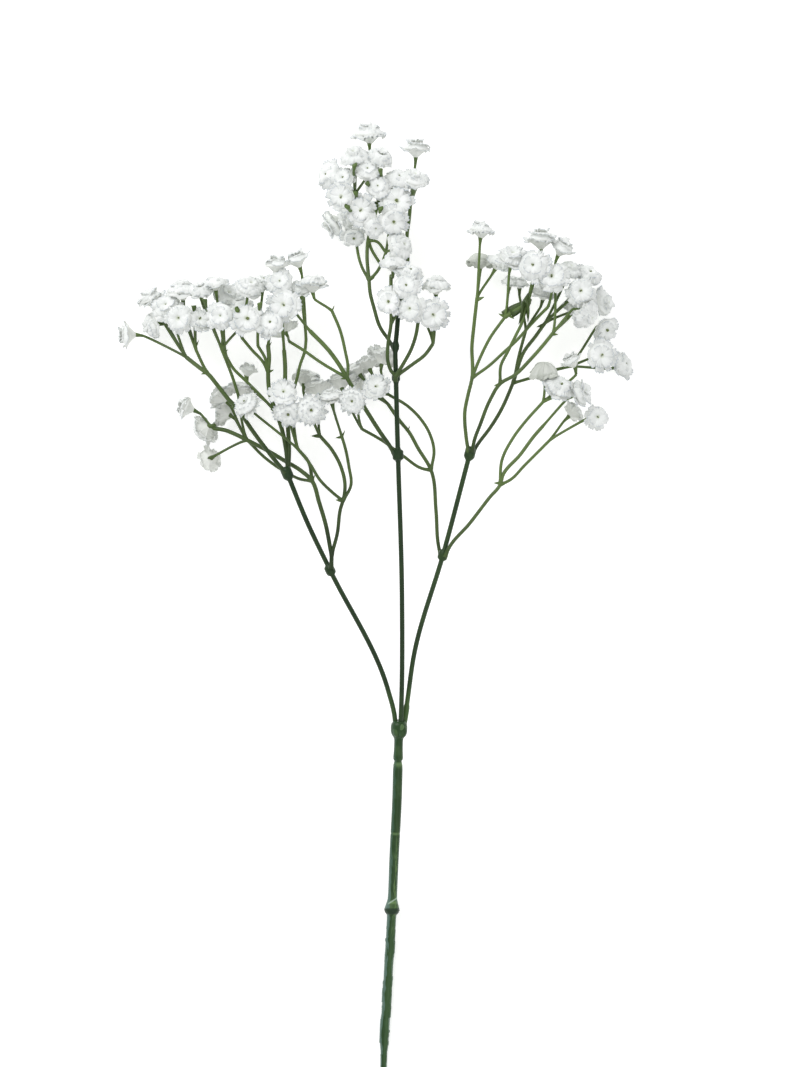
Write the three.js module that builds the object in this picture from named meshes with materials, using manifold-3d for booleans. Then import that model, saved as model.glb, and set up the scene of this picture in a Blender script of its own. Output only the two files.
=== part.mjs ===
// Gypsophila stem: a cut spray of baby's breath that lies on a surface.
//
// One stalk ends in a knob that holds three branches. Forked sprays are plugged on knobs along
// the branches, and each pedicel ends in a calyx that carries one ruffled bloom.
//
// Millimetres, +Z up. The stem lies along Y, with its tip at +Y, and rests on the plane Z = 0.
// The origin is on that plane, under the middle of the whole spray.

import * as THREE from 'three';
import Module from 'manifold-3d';

const wasm = await Module();
wasm.setup();

// ---------------------------------------------------------------- driving dimensions (mm)

const PLAN_STEP = 0.6; // side of one square of the plan grid
const PLAN_ORIGIN = [376.4, 614.8]; // grid point that the origin stands under

const STEM_WIDTH = 5.2;
const BRANCH_WIDTH = 2.9;
const ARM_WIDTH = 2.6;
const LIMB_WIDTH = 2.2;
const TWIG_WIDTH = 1.9;
const PEDICEL_WIDTH = 1.7;
const CALYX_WIDTH = 2.8;
const CALYX_LENGTH = 3.6;
const SEAT_GAP = 0.3; // clearance between two pieces that touch
const STALK_SIDES = 8; // sides of a stem or branch
const SPRAY_SIDES = 4; // sides of a spray's limb
const PEDICEL_SIDES = 3;
const PEDICEL_STEPS = 2; // straight lengths in a pedicel's bend
const KNOB_PROFILE = [-1, -0.75, 0.7, 1]; // foot, shoulders and tip of a knob, in half lengths
const SPLAY = 0.7; // how far a pedicel turns from its limb towards its bloom as it leaves
const BEND = 0.35; // length of a pedicel's straight starts, as a share of its reach

const PETALS = 7; // petals in each layer of a bloom
const SMALL_PETALS = 6; // and of a small one
const SMALL_BLOOM = 15.5; // width under which a bloom is small
const BLOOM_DEPTH = 0.4; // underside cone of a bloom, as a share of its radius
// Outer tips, outer notches, crease, inner tips, inner notches, crest and eye of a bloom.
// Each ring is [share of the radius, height as a share of the radius].
const OUTER_TIP = [1.1, 0];
const OUTER_NOTCH = [0.92, 0.08];
const CREASE = [0.62, 0.15];
const INNER_TIP = [0.8, 0.42];
const INNER_NOTCH = [0.58, 0.36];
const CREST = [0.36, 0.62];
const EYE_HEIGHT = 0.4;

// ---------------------------------------------------------------- colours

const STEM_GREEN = new THREE.MeshStandardMaterial({ color: 0x3d5a30, roughness: 0.6, metalness: 0 });
const BRANCH_GREEN = new THREE.MeshStandardMaterial({ color: 0x2b4426, roughness: 0.6, metalness: 0 });
const SPRAY_GREEN = new THREE.MeshStandardMaterial({ color: 0x56763a, roughness: 0.6, metalness: 0 });
const PETAL_WHITE = new THREE.MeshStandardMaterial({ color: 0xf4f5f1, roughness: 0.8, metalness: 0 });

// ---------------------------------------------------------------- plan of the stalk and twigs
//
// A plan point is [x, y], [x, y, height] or [x, y, height, fork]: x counts grid squares to the right
// and y counts them down towards the foot. A point without a height takes it from its neighbours
// on the same limb. A limb is [fork it leaves, width, plan points...], and one that leaves no fork
// starts at its first point.

const STALK = {
  main_stem: [null, STEM_WIDTH, [383, 1104, 2.3], [384, 1050, 2.3], [388, 980, 4.5], [392, 909, 8],
    [394, 860, 11], [397, 800, 16], [398, 762, 20], [399, 729, 24, 'crown']],
  left_branch: [null, BRANCH_WIDTH, [395.5, 728, 24], [394.8, 718], [388, 690],
    [330, 570, 27, 'k1'], [308, 524], [287, 473, 30, 'k2']],
  centre_branch: [null, BRANCH_WIDTH, [400.5, 728, 26], [401, 716, 27], [402, 600],
    [398, 455, 36, 'c1'], [397, 420], [396, 378, 38, 'c2'], [395.5, 347, 38, 'c3'], [397, 330],
    [399, 303, 34.5, 'c4']],
  right_branch: [null, BRANCH_WIDTH, [403, 728, 22.5], [404.8, 718], [415, 650],
    [443, 555, 28, 'r1'], [470, 453, 30, 'r2']],
};

// Knobs on the stalk: fork, width and length.
const KNOBS = {
  crown: [9.2, 10],
  k1: [6, 6],
  k2: [6.6, 8],
  c1: [6.6, 7],
  c2: [5, 5],
  c3: [4.6, 5],
  c4: [4.4, 5],
  r1: [6, 6],
  r2: [6.6, 8],
};

const SPRAYS = {
  spray_left_low: [
    [null, ARM_WIDTH, [331, 569, 30], [331.5, 556, 30, 'a0'], [330, 547], [326, 526], [319, 502],
      [312, 481, 25, 'a1'], [300, 470], [285, 461, 19], [270, 452], [247, 440, 16, 'a2'], [235, 434],
      [225, 430], [213, 428, 12, 'a4']],
    ['a1', TWIG_WIDTH, [300, 479], [289, 474, 15], [264, 457, 13], [248, 441, 15.6]],
    ['a1', LIMB_WIDTH, [309, 463], [298, 449, 33, 'a3']],
    ['a0', LIMB_WIDTH, [333, 550], [337, 535], [341, 507], [343, 501, 32, 'b0'], [345, 485],
      [341, 467], [332, 450], [320, 436, 31, 'b1']],
    ['b0', TWIG_WIDTH, [332, 492], [320, 480], [310, 464], [298.5, 449.5, 33]],
    ['b0', TWIG_WIDTH, [351, 485], [349, 467], [345, 447], [342, 437, 34, 'b2']],
  ],
  spray_left_outer: [
    [null, ARM_WIDTH, [286, 473, 31.6], [278, 464], [270, 454], [246, 421], [238, 408, 30, 'o0'],
      [232, 403], [218, 386], [208, 374, 27, 'o1'], [200, 368], [186, 357, 20, 'o2']],
    ['o1', TWIG_WIDTH, [204, 367], [196, 350, 27, 'o3']],
    ['o0', TWIG_WIDTH, [239, 400], [236, 388], [231, 373], [222, 350, 30, 'o4']],
  ],
  spray_left_inner: [
    [null, ARM_WIDTH, [288, 473, 28.4], [286, 450, 27], [282, 430], [276, 412, 24, 'p0'], [270, 395],
      [268, 372, 24, 'p1'], [269, 358], [268, 345, 28, 'p5']],
    ['p0', TWIG_WIDTH, [258, 393], [245, 380], [233, 368], [226, 356, 24, 'p2']],
    ['p1', TWIG_WIDTH, [263, 362], [252, 350], [242, 338, 26, 'p3']],
    ['p1', TWIG_WIDTH, [265, 358], [258, 346, 28, 'p4']],
    [null, ARM_WIDTH, [288, 473, 28.4], [289, 450, 27], [288, 430], [286, 410, 24, 'q0'], [285, 385],
      [285, 365], [284, 350, 26, 'q1']],
    ['q0', TWIG_WIDTH, [294, 388], [297, 378], [300, 365], [305, 350], [306, 340, 28, 'q2']],
  ],
  spray_centre_low: [
    [null, ARM_WIDTH, [395, 455, 35], [391.6, 449, 34.6], [380, 432], [363, 405], [347, 378, 36, 'j0'],
      [340, 366], [330, 352], [310, 331, 36, 'j2']],
    ['j0', TWIG_WIDTH, [320, 362], [303, 350], [290, 342, 33, 'j1']],
    ['j0', TWIG_WIDTH, [348, 370], [345, 350], [340, 330], [332, 311, 34, 'j3']],
  ],
  spray_centre: [
    [null, LIMB_WIDTH, [395.6, 382, 40.6], [395.4, 377, 41.4, 's0'], [391, 371, 42], [388, 362],
      [388, 345, 43], [391, 324, 43, 't0'], [391, 306, 41], [391, 290], [391, 276, 36, 't1']],
    ['t0', TWIG_WIDTH, [395, 317], [400, 306], [404, 300, 44, 't2']],
    ['s0', LIMB_WIDTH, [412, 365], [425, 355], [433, 344, 40, 'n0']],
    ['s0', LIMB_WIDTH, [404, 363], [411, 350], [416, 335], [418, 323, 46, 'n1']],
  ],
  spray_top_left: [
    [null, LIMB_WIDTH, [393.6, 348, 36.6], [390, 342, 35.6], [380, 327], [374, 308], [370, 292],
      [369, 280, 28, 'u0'], [367, 255], [368, 240, 22, 'u3'], [372, 225], [378, 203, 20, 'u4'],
      [381, 190], [381, 179, 28, 'u5']],
    ['u0', TWIG_WIDTH, [362, 267], [357, 247, 14], [356, 228, 11, 'u1'], [356, 210],
      [355, 195, 20, 'u2']],
    ['u3', TWIG_WIDTH, [372, 250], [380, 263, 20, 'u6']],
    ['u0', TWIG_WIDTH, [376, 273], [384, 258], [386, 252, 30, 'u7']],
    ['u3', TWIG_WIDTH, [376, 241], [385.6, 252, 29.8]],
  ],
  spray_top: [
    [null, LIMB_WIDTH, [399.4, 303, 34.2], [403, 290], [407, 268, 30], [408, 256], [407, 235],
      [409, 220, 26], [411, 196, 25, 'v0']],
  ],
  spray_right_low_inner: [
    [null, LIMB_WIDTH, [440.6, 556, 25.6], [438.4, 545, 25], [436, 510], [431, 470, 26, 'x0'],
      [418, 448], [409, 432], [400, 421, 24], [388, 404, 24, 'x2']],
    ['x0', TWIG_WIDTH, [424, 469], [402, 455, 26], [383, 441], [362, 429, 28, 'x1']],
    ['x0', TWIG_WIDTH, [434, 450], [428, 430], [420, 418], [409, 407, 24], [388, 394, 20, 'x3']],
  ],
  spray_right_low_outer: [
    [null, LIMB_WIDTH, [445, 557, 30.2], [448.4, 549, 31], [470, 523], [490, 497], [500, 485, 30, 'y0'],
      [503, 475], [520, 455], [535, 435], [543, 426, 26, 'y2']],
    ['y0', TWIG_WIDTH, [502, 460], [513, 438], [525, 422], [543, 402, 30, 'y1']],
    ['y0', TWIG_WIDTH, [510, 480], [525, 465], [540, 450], [550, 440, 22, 'y3']],
  ],
  spray_right_inner: [
    [null, LIMB_WIDTH, [468.6, 453, 31.6], [466, 436, 32.6], [465, 410], [468, 395],
      [472, 378, 32, 'z0'], [472, 345], [474, 325], [477, 298, 28, 'z1']],
    ['z0', TWIG_WIDTH, [480, 358], [490, 338], [505, 317, 32, 'z2']],
    ['z0', TWIG_WIDTH, [490, 365], [503, 353], [515, 342, 31], [535, 320, 31], [548, 307, 33, 'z3']],
  ],
  spray_right_middle: [
    [null, LIMB_WIDTH, [472, 452, 33.2], [474.4, 440, 35], [480, 425], [490, 400], [500, 384, 38, 'm0'],
      [515, 375], [530, 360], [545, 343], [553, 333, 38, 'm2']],
    ['m0', TWIG_WIDTH, [501, 365], [507, 353], [521, 325, 38, 'm1']],
  ],
  spray_right_outer: [
    [null, LIMB_WIDTH, [472.6, 453, 28], [478, 444, 27], [490, 428], [500, 412], [513, 383, 26, 'f0'],
      [525, 350], [535, 337], [545, 323, 26, 'f2']],
    ['f0', TWIG_WIDTH, [515, 375], [518, 360], [526, 330, 24, 'f1']],
    ['f0', TWIG_WIDTH, [530, 378], [550, 371, 17], [570, 366, 14, 'f3']],
  ],
};

// The piece that each spray is plugged on.
const CARRIERS = {
  left_branch: 'main_stem',
  centre_branch: 'main_stem',
  right_branch: 'main_stem',
  spray_left_low: 'left_branch',
  spray_left_outer: 'left_branch',
  spray_left_inner: 'left_branch',
  spray_centre_low: 'centre_branch',
  spray_centre: 'centre_branch',
  spray_top_left: 'centre_branch',
  spray_top: 'centre_branch',
  spray_right_low_inner: 'right_branch',
  spray_right_low_outer: 'right_branch',
  spray_right_inner: 'right_branch',
  spray_right_middle: 'right_branch',
  spray_right_outer: 'right_branch',
};

// ---------------------------------------------------------------- plan of the blooms
//
// A bloom is [plan x, plan y, height, heading, lift, width] under the fork that its pedicel leaves.
// Heading and lift aim its face, in degrees: heading turns from +X towards +Y, and lift raises the
// face from the surface's plane to straight up (90) or down (-90).

const BLOOMS = {
  // top
  u2: [[355, 159, 38.5, 95, 35, 17.5], [331, 176, 32, 160, 40, 17], [344, 180, 39, 120, 60, 15],
    [342, 198, 42, 180, 75, 16], [367, 172, 42, 80, 50, 15]],
  u1: [[354, 236, 20, 270, 50, 14], [335, 221, 7, 215, 10, 16.5], [347, 217, 13, 200, 30, 13]],
  u4: [[361.5, 211, 42, 200, 75, 17], [378, 188, 43, 90, 70, 15], [396, 203, 43, 60, 70, 19],
    [369, 136, 26, 92, 8, 19]],
  u5: [[380, 160, 38, 70, 35, 16], [398, 182, 37, 75, 35, 16]],
  u3: [[375, 226, 42, 290, 50, 15]],
  u7: [[393, 222, 45, 300, 70, 17], [399, 246, 41, 30, 45, 17]],
  u6: [[397, 257, 18, 350, 40, 14]],
  v0: [[416, 151, 28, 88, 5, 16], [415.5, 181, 37, 80, 35, 16]],
  // neck
  t0: [[389, 303, 54, 160, 75, 15.5]],
  t1: [[393, 266, 44, 92, 15, 16]],
  t2: [[406, 288, 54, 90, 70, 16.5]],
  n0: [[432, 315, 54, 320, 75, 17.5], [436, 289, 43, 88, 8, 17], [409, 276, 47, 75, 30, 16]],
  n1: [[411, 309, 56, 200, 75, 16]],
  // left, outer
  o2: [[129, 334, 7, 180, 5, 15.5], [153, 325, 11, 200, 20, 15], [167, 307, 22, 120, 55, 17],
    [151, 300, 12, 115, 10, 16]],
  o3: [[180, 318, 34, 200, 75, 17], [182, 293, 20, 95, 10, 19], [199, 320, 31, 60, 50, 15]],
  o4: [[222, 317, 45, 160, 75, 17], [247, 320, 47, 60, 70, 19], [200.5, 292, 25, 95, 30, 14.5]],
  // left, inner
  p2: [[215, 285, 25, 97, 18, 14], [226, 296, 15.5, 68, 45, 17]],
  p3: [[239, 306, 17, 100, 30, 15], [249, 288, 33, 80, 45, 17]],
  p4: [[263, 284, 25, 85, 25, 14]],
  p5: [[271, 324, 43, 110, 70, 16.5]],
  q1: [[277, 268, 33, 92, 5, 16], [280, 284, 38, 100, 60, 17]],
  q2: [[298, 262, 27.5, 110, 10, 15], [301, 291, 33, 95, 30, 13]],
  j1: [[283, 328, 16, 120, -30, 15]],
  j2: [[285, 305, 43, 200, 75, 18]],
  j3: [[313, 286, 36, 88, 5, 17]],
  // left, low
  a4: [[188, 408, 7.4, 160, 0, 15], [204, 429, 10, 215, -30, 16]],
  a2: [[209, 459, 8, 215, -60, 14], [222, 397, 16, 135, -20, 17], [225, 412, 11, 150, -30, 16],
    [240, 390, 20, 80, -10, 14]],
  p0: [[247, 372, 12, 80, 0, 12]],
  a3: [[248, 406, 42, 130, 40, 16], [284, 394, 42, 95, 55, 16], [289, 412, 41, 250, 60, 18]],
  b1: [[310.5, 410, 44, 330, 75, 18.5], [305, 379, 14, 75, -20, 16], [318, 389, 15, 95, -25, 15.5]],
  b2: [[331.5, 399, 42, 100, 15, 15]],
  x1: [[353, 401, 46, 200, 75, 16], [340, 383, 14, 110, -30, 16]],
  x2: [[358, 387, 8, 150, -20, 14], [357, 371, 12, 130, -25, 15]],
  x3: [[376, 388, 27, 100, 60, 15], [368, 364, 12, 110, -25, 15], [383, 358, 14, 75, -25, 18]],
  // right
  z1: [[481, 232, 26, 85, 5, 15.5], [480, 263, 15, 90, -10, 16], [498, 264, 20, 60, 20, 14]],
  z2: [[512, 261, 38, 75, 30, 18], [510, 283, 22, 80, 20, 10]],
  z3: [[552, 278, 43, 100, 60, 19]],
  m1: [[533, 267, 45, 120, 75, 19], [541, 242, 30, 90, 5, 18]],
  m2: [[574, 309, 23.5, 60, 30, 13], [584, 314, 40, 320, 30, 18], [561, 250, 27, 60, 20, 16]],
  f1: [[544, 294, 18, 80, 20, 14.5], [520, 284, 20, 85, 20, 10]],
  f2: [[569, 272, 25, 70, 30, 15], [588, 276, 20, 60, 35, 16], [580, 292, 41, 30, 70, 17.5],
    [603, 302, 10, 10, 35, 16]],
  f3: [[601, 355, 32, 0, 75, 17], [621.8, 365, 6.2, 20, 35, 15.5], [606, 328, 14, 320, 50, 15]],
  // right, low
  y1: [[544, 374, 34, 95, 20, 18], [573, 363, 26, 120, 10, 13], [558.5, 389, 37, 60, 40, 18]],
  y2: [[578, 394, 35, 20, 25, 16]],
  y3: [[573, 413, 15, 40, -20, 14], [597, 417, 30, 330, 70, 14.5]],
};

// ---------------------------------------------------------------- solids

const UP = new THREE.Vector3(0, 0, 1);
const EAST = new THREE.Vector3(1, 0, 0);

function plan([x, y, height]) {
  return new THREE.Vector3((x - PLAN_ORIGIN[0]) * PLAN_STEP, (PLAN_ORIGIN[1] - y) * PLAN_STEP, height);
}

function solid(vertices, triangles) {
  const mesh = new wasm.Mesh({
    numProp: 3,
    vertProperties: new Float32Array(vertices.flatMap((v) => [v.x, v.y, v.z])),
    triVerts: new Uint32Array(triangles.flat()),
  });
  return new wasm.Manifold(mesh);
}

// Triangles between rings of vertices. A ring may have twice or half the vertices of the next.
function ringTriangles(sizes) {
  const triangles = [];
  let start = 0;
  for (let i = 0; i + 1 < sizes.length; i += 1) {
    const [low, high] = [sizes[i], sizes[i + 1]];
    const steps = Math.max(low, high);
    const next = start + low;
    for (let k = 0; k < steps; k += 1) {
      const a = start + Math.floor((k * low) / steps);
      const b = start + (Math.floor(((k + 1) * low) / steps) % low);
      const c = next + Math.floor((k * high) / steps);
      const d = next + (Math.floor(((k + 1) * high) / steps) % high);
      if (a !== b) triangles.push([a, b, d]);
      if (c !== d) triangles.push([a, d, c]);
    }
    start = next;
  }
  return triangles;
}

// A tube through the points, with its own radius at each, closed by flat ends.
function tube(points, radii, sides) {
  const vertices = [];
  const tangents = points.map((p, i) => {
    const before = points[Math.max(i - 1, 0)];
    const after = points[Math.min(i + 1, points.length - 1)];
    return after.clone().sub(before).normalize();
  });
  const side = new THREE.Vector3();
  points.forEach((point, i) => {
    if (i === 0) side.crossVectors(Math.abs(tangents[0].z) < 0.9 ? UP : EAST, tangents[0]);
    side.addScaledVector(tangents[i], -side.dot(tangents[i])).normalize();
    const rise = new THREE.Vector3().crossVectors(tangents[i], side);
    for (let k = 0; k < sides; k += 1) {
      const angle = ((k + 0.5) / sides) * 2 * Math.PI - Math.PI / 2;
      vertices.push(point.clone()
        .addScaledVector(side, radii[i] * Math.cos(angle))
        .addScaledVector(rise, radii[i] * Math.sin(angle)));
    }
  });
  const triangles = ringTriangles(points.map(() => sides));
  const last = vertices.length - sides;
  for (let k = 1; k + 1 < sides; k += 1) {
    triangles.push([0, k + 1, k], [last, last + k, last + k + 1]);
  }
  return solid(vertices, triangles);
}

// Points of a limb in space. A missing height follows the length of the path.
function limbPoints(start, rows) {
  const known = rows.map(([x, y, height]) => plan([x, y, height ?? NaN]));
  const points = start ? [start.clone(), ...known] : known;
  const flat = (i) => Math.hypot(points[i + 1].x - points[i].x, points[i + 1].y - points[i].y);
  for (let i = 1; i < points.length; i += 1) {
    if (!Number.isNaN(points[i].z)) continue;
    let end = i;
    while (Number.isNaN(points[end].z)) end += 1;
    let total = 0;
    for (let k = i - 1; k < end; k += 1) total += flat(k);
    const climb = (points[end].z - points[i - 1].z) / total;
    for (let k = i; k < end; k += 1) points[k].z = points[k - 1].z + climb * flat(k - 1);
  }
  return points;
}

// Every fork's point, and the direction in which its limb arrives.
const forks = {};

// A limb is a tube. Where it passes a knob it swells to the knob's width.
function limb([from, width, ...rows], sides, gap = 0) {
  const points = limbPoints(from && forks[from].point, rows);
  const names = rows.map((row) => row[3]);
  if (from) names.unshift(null);
  const path = [];
  const radii = [];
  points.forEach((point, i) => {
    const before = points[Math.max(i - 1, 0)];
    const direction = (i ? point : points[1]).clone().sub(before).normalize();
    if (names[i]) forks[names[i]] = { point, direction };
    const [knobWidth, length] = KNOBS[names[i]] ?? [width, 0];
    for (const step of length ? KNOB_PROFILE : [0]) {
      const along = (step * length) / 2 + Math.sign(step) * gap;
      path.push(point.clone().addScaledVector(direction, along));
      radii.push(gap + (Math.abs(step) < 1 ? knobWidth : width) / 2);
    }
  });
  return tube(path, radii, sides);
}

function faceAxis(heading, lift) {
  const [h, l] = [heading, lift].map(THREE.MathUtils.degToRad);
  return new THREE.Vector3(Math.cos(l) * Math.cos(h), Math.cos(l) * Math.sin(h), Math.sin(l));
}

// A pedicel leaves its fork along the twig, bends towards the bloom and ends in a flared calyx.
function pedicel(fork, [x, y, height, heading, lift, width]) {
  const { point, direction } = forks[fork];
  const axis = faceAxis(heading, lift);
  const seat = plan([x, y, height]).addScaledVector(axis, -(BLOOM_DEPTH * width) / 2 - SEAT_GAP);
  const foot = seat.clone().addScaledVector(axis, -CALYX_LENGTH);
  const way = foot.clone().sub(point);
  const reach = way.length();
  const leave = direction.clone().lerp(way.normalize(), SPLAY).normalize();
  const curve = new THREE.CubicBezierCurve3(
    point,
    point.clone().addScaledVector(leave, reach * BEND),
    foot.clone().addScaledVector(axis, -reach * BEND),
    foot,
  );
  const path = curve.getPoints(PEDICEL_STEPS);
  const radii = path.map(() => PEDICEL_WIDTH / 2);
  return tube([...path, seat], [...radii, CALYX_WIDTH / 2], PEDICEL_SIDES);
}

// A bloom: an outer and an inner layer of petals over a cone, and a crest round the eye.
function bloom([x, y, height, heading, lift, width], turn) {
  const radius = width / 2;
  const petals = width < SMALL_BLOOM ? SMALL_PETALS : PETALS;
  const at = (angle, [reach, rise]) => new THREE.Vector3(
    reach * radius * Math.cos(angle), reach * radius * Math.sin(angle), rise * radius);
  const corner = (k) => turn + (k * Math.PI) / petals;
  const ring = (even, odd) => Array.from(
    { length: 2 * petals }, (_, k) => at(corner(k), k % 2 ? odd : even));
  const half = (row) => Array.from({ length: petals }, (_, k) => at(corner(2 * k + 1), row));
  const rings = [
    [at(0, [0, -BLOOM_DEPTH])],
    ring(OUTER_TIP, OUTER_NOTCH),
    half(CREASE),
    ring(INNER_NOTCH, INNER_TIP),
    half(CREST),
    [at(0, [0, EYE_HEIGHT])],
  ];
  const pose = new THREE.Matrix4().makeRotationFromQuaternion(
    new THREE.Quaternion().setFromUnitVectors(UP, faceAxis(heading, lift)));
  pose.setPosition(plan([x, y, height]));
  const vertices = rings.flat().map((v) => v.applyMatrix4(pose));
  return solid(vertices, ringTriangles(rings.map((row) => row.length)));
}

// ---------------------------------------------------------------- assembly

const group = new THREE.Group();

function addMesh(name, body, material) {
  const { vertProperties, triVerts } = body.getMesh();
  const geometry = new THREE.BufferGeometry();
  geometry.setAttribute('position', new THREE.BufferAttribute(vertProperties, 3));
  geometry.setIndex(new THREE.BufferAttribute(triVerts, 1));
  geometry.computeVertexNormals();
  const mesh = new THREE.Mesh(geometry, material);
  mesh.name = name;
  group.add(mesh);
}

// The largest of the bodies that a cut leaves.
function largest(body) {
  return body.decompose().sort((a, b) => b.volume() - a.volume())[0];
}

// Each branch and spray is cut clear of the piece that it is plugged on.
const room = {};
for (const [name, row] of Object.entries(STALK)) {
  const carrier = CARRIERS[name];
  const body = limb(row, STALK_SIDES);
  const cut = carrier ? largest(body.subtract(room[carrier])) : body.trimByPlane([0, 0, 1], 0);
  addMesh(name, cut, carrier ? BRANCH_GREEN : STEM_GREEN);
  room[name] = limb(row, STALK_SIDES, SEAT_GAP);
}

for (const [name, rows] of Object.entries(SPRAYS)) {
  const limbs = rows.map((row) => limb(row, SPRAY_SIDES));
  const names = rows.flatMap((row) => row.slice(2).map((point) => point[3])).filter(Boolean);
  const pedicels = names.flatMap((fork) => (BLOOMS[fork] ?? []).map((row) => pedicel(fork, row)));
  const body = wasm.Manifold.union([...limbs, ...pedicels]).subtract(room[CARRIERS[name]]);
  addMesh(name, largest(body), SPRAY_GREEN);
}

// Blooms that touch hold together as one body, and the bodies are numbered from left to right.
const TURN = 2.4; // radians between one bloom's petals and the next one's
const blooms = Object.values(BLOOMS).flat().map((row, i) => bloom(row, i * TURN));
const clusters = wasm.Manifold.union(blooms).trimByPlane([0, 0, 1], 0).decompose();
const middle = (body) => body.boundingBox().min[0] + body.boundingBox().max[0];
clusters.sort((a, b) => middle(a) - middle(b));
clusters.forEach((body, i) => {
  addMesh(`blooms_${String(i + 1).padStart(2, '0')}`, body, PETAL_WHITE);
});

export default group;
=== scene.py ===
# %% [markdown]
# # A gypsophila stem
# This lesson dresses a cut spray of gypsophila for display. Its measured solids come first and
# stay where they are. Every piece made here takes the place of one of them, in the same spot and
# at the same size, with the petals, bends and finish that a faceted solid leaves out.

# %% Frame
import math
import random

import bmesh
import bpy
from mathutils import Euler, Matrix, Vector
from mathutils.kdtree import KDTree


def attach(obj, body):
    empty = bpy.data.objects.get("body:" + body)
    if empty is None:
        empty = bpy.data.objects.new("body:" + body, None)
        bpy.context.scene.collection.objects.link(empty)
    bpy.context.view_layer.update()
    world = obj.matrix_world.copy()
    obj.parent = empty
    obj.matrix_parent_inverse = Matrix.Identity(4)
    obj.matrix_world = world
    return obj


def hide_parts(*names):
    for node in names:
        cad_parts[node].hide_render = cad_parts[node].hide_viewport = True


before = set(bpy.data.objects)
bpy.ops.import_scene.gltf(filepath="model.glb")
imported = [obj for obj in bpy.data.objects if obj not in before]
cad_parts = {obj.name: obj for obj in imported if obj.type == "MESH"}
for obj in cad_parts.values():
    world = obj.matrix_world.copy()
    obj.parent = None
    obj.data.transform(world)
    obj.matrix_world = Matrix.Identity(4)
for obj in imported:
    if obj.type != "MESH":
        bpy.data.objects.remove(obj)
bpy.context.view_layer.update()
bpy.ops.object.select_all(action="DESELECT")
print("solids loaded:", len(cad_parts))

# %% [markdown]
# ## The plan grid
# The spray lies flat, so it is drawn as on squared paper: x counts squares to the right, y counts
# them down towards the cut end, and a height is in millimetres. One function turns a place on
# the paper into a place in the scene, which keeps every number below short and easy to change.

# %% Plan grid
MM = 0.001
PLAN_STEP = 0.6  # millimetres along one side of a square
PLAN_ORIGIN = (376.4, 614.8)  # square over the middle of the whole spray


def plan(x, y, height=0.0):
    """A place in the scene, in millimetres, from a place on the plan."""
    return Vector(((x - PLAN_ORIGIN[0]) * PLAN_STEP, (PLAN_ORIGIN[1] - y) * PLAN_STEP, height))


def square_down(y):
    """Squares down the plan of a place whose y in the scene is given in millimetres."""
    return PLAN_ORIGIN[1] - y / PLAN_STEP


def facing(heading, lift):
    """Unit vector from a compass heading and a lift above the surface, both in degrees."""
    h, l = math.radians(heading), math.radians(lift)
    return Vector((math.cos(l) * math.cos(h), math.cos(l) * math.sin(h), math.sin(l)))


print("corner of the plan, in millimetres:", tuple(round(v, 1) for v in plan(0, 0)))

# %% [markdown]
# ## Camera
# A spray laid on a table is looked at from straight above. A long lens far away keeps stems
# near the table and blooms high over it at the same scale, as a flat drawing does.

# %% Camera
SHEET = (800, 1067)  # squares across and down that the picture shows
CAMERA_HEIGHT = 6000.0
EYE_LEVEL = 30.0  # height in the spray at which the scale is exact

scene = bpy.context.scene
centre = plan(SHEET[0] / 2, SHEET[1] / 2, EYE_LEVEL)
lens_camera = bpy.data.cameras.new("camera")
lens_camera.lens = lens_camera.sensor_width * CAMERA_HEIGHT / (SHEET[1] * PLAN_STEP)
lens_camera.clip_end = 2 * CAMERA_HEIGHT * MM
camera = bpy.data.objects.new("camera", lens_camera)
camera.location = (centre + Vector((0, 0, CAMERA_HEIGHT))) * MM
scene.collection.objects.link(camera)
scene.camera = camera
scene.view_settings.view_transform = "Standard"
print("camera over", tuple(round(v, 3) for v in camera.location))

# %% [markdown]
# ## The plan of the spray
# A plan point is [x, y], [x, y, height] or [x, y, height, fork]. A limb is [fork it leaves, width,
# points ...], and one that leaves no fork starts at its first point. A bloom, under the fork that
# carries it, is [x, y, height, heading, lift, width]. Rows of numbers are the quickest way to
# draw a plant: a twig is moved by changing two of them, and its blooms' pedicels follow.

# %% Plan of the limbs
STEM_WIDTH = 5.2
BRANCH_WIDTH = 2.9
ARM_WIDTH = 2.6
LIMB_WIDTH = 2.2
TWIG_WIDTH = 1.9

STALK = {
  "main_stem": [None, STEM_WIDTH, [383, 1104, 2.3], [384, 1050, 2.3], [388, 980, 4.5], [392, 909, 8],
    [394, 860, 11], [397, 800, 16], [398, 762, 20], [399, 729, 24, "crown"]],
  "left_branch": [None, BRANCH_WIDTH, [395.5, 728, 24], [394.8, 718], [388, 690],
    [330, 570, 27, "k1"], [308, 524], [287, 473, 30, "k2"]],
  "centre_branch": [None, BRANCH_WIDTH, [400.5, 728, 26], [401, 716, 27], [402, 600],
    [398, 455, 36, "c1"], [397, 420], [396, 378, 38, "c2"], [395.5, 347, 38, "c3"], [397, 330],
    [399, 303, 34.5, "c4"]],
  "right_branch": [None, BRANCH_WIDTH, [403, 728, 22.5], [404.8, 718], [415, 650],
    [443, 555, 28, "r1"], [470, 453, 30, "r2"]],
}

# Width and length of each knob, at the fork of the same name.
KNOBS = {"crown": [9.2, 10], "k1": [6, 6], "k2": [6.6, 8], "c1": [6.6, 7], "c2": [5, 5],
         "c3": [4.6, 5], "c4": [4.4, 5], "r1": [6, 6], "r2": [6.6, 8]}

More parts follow.
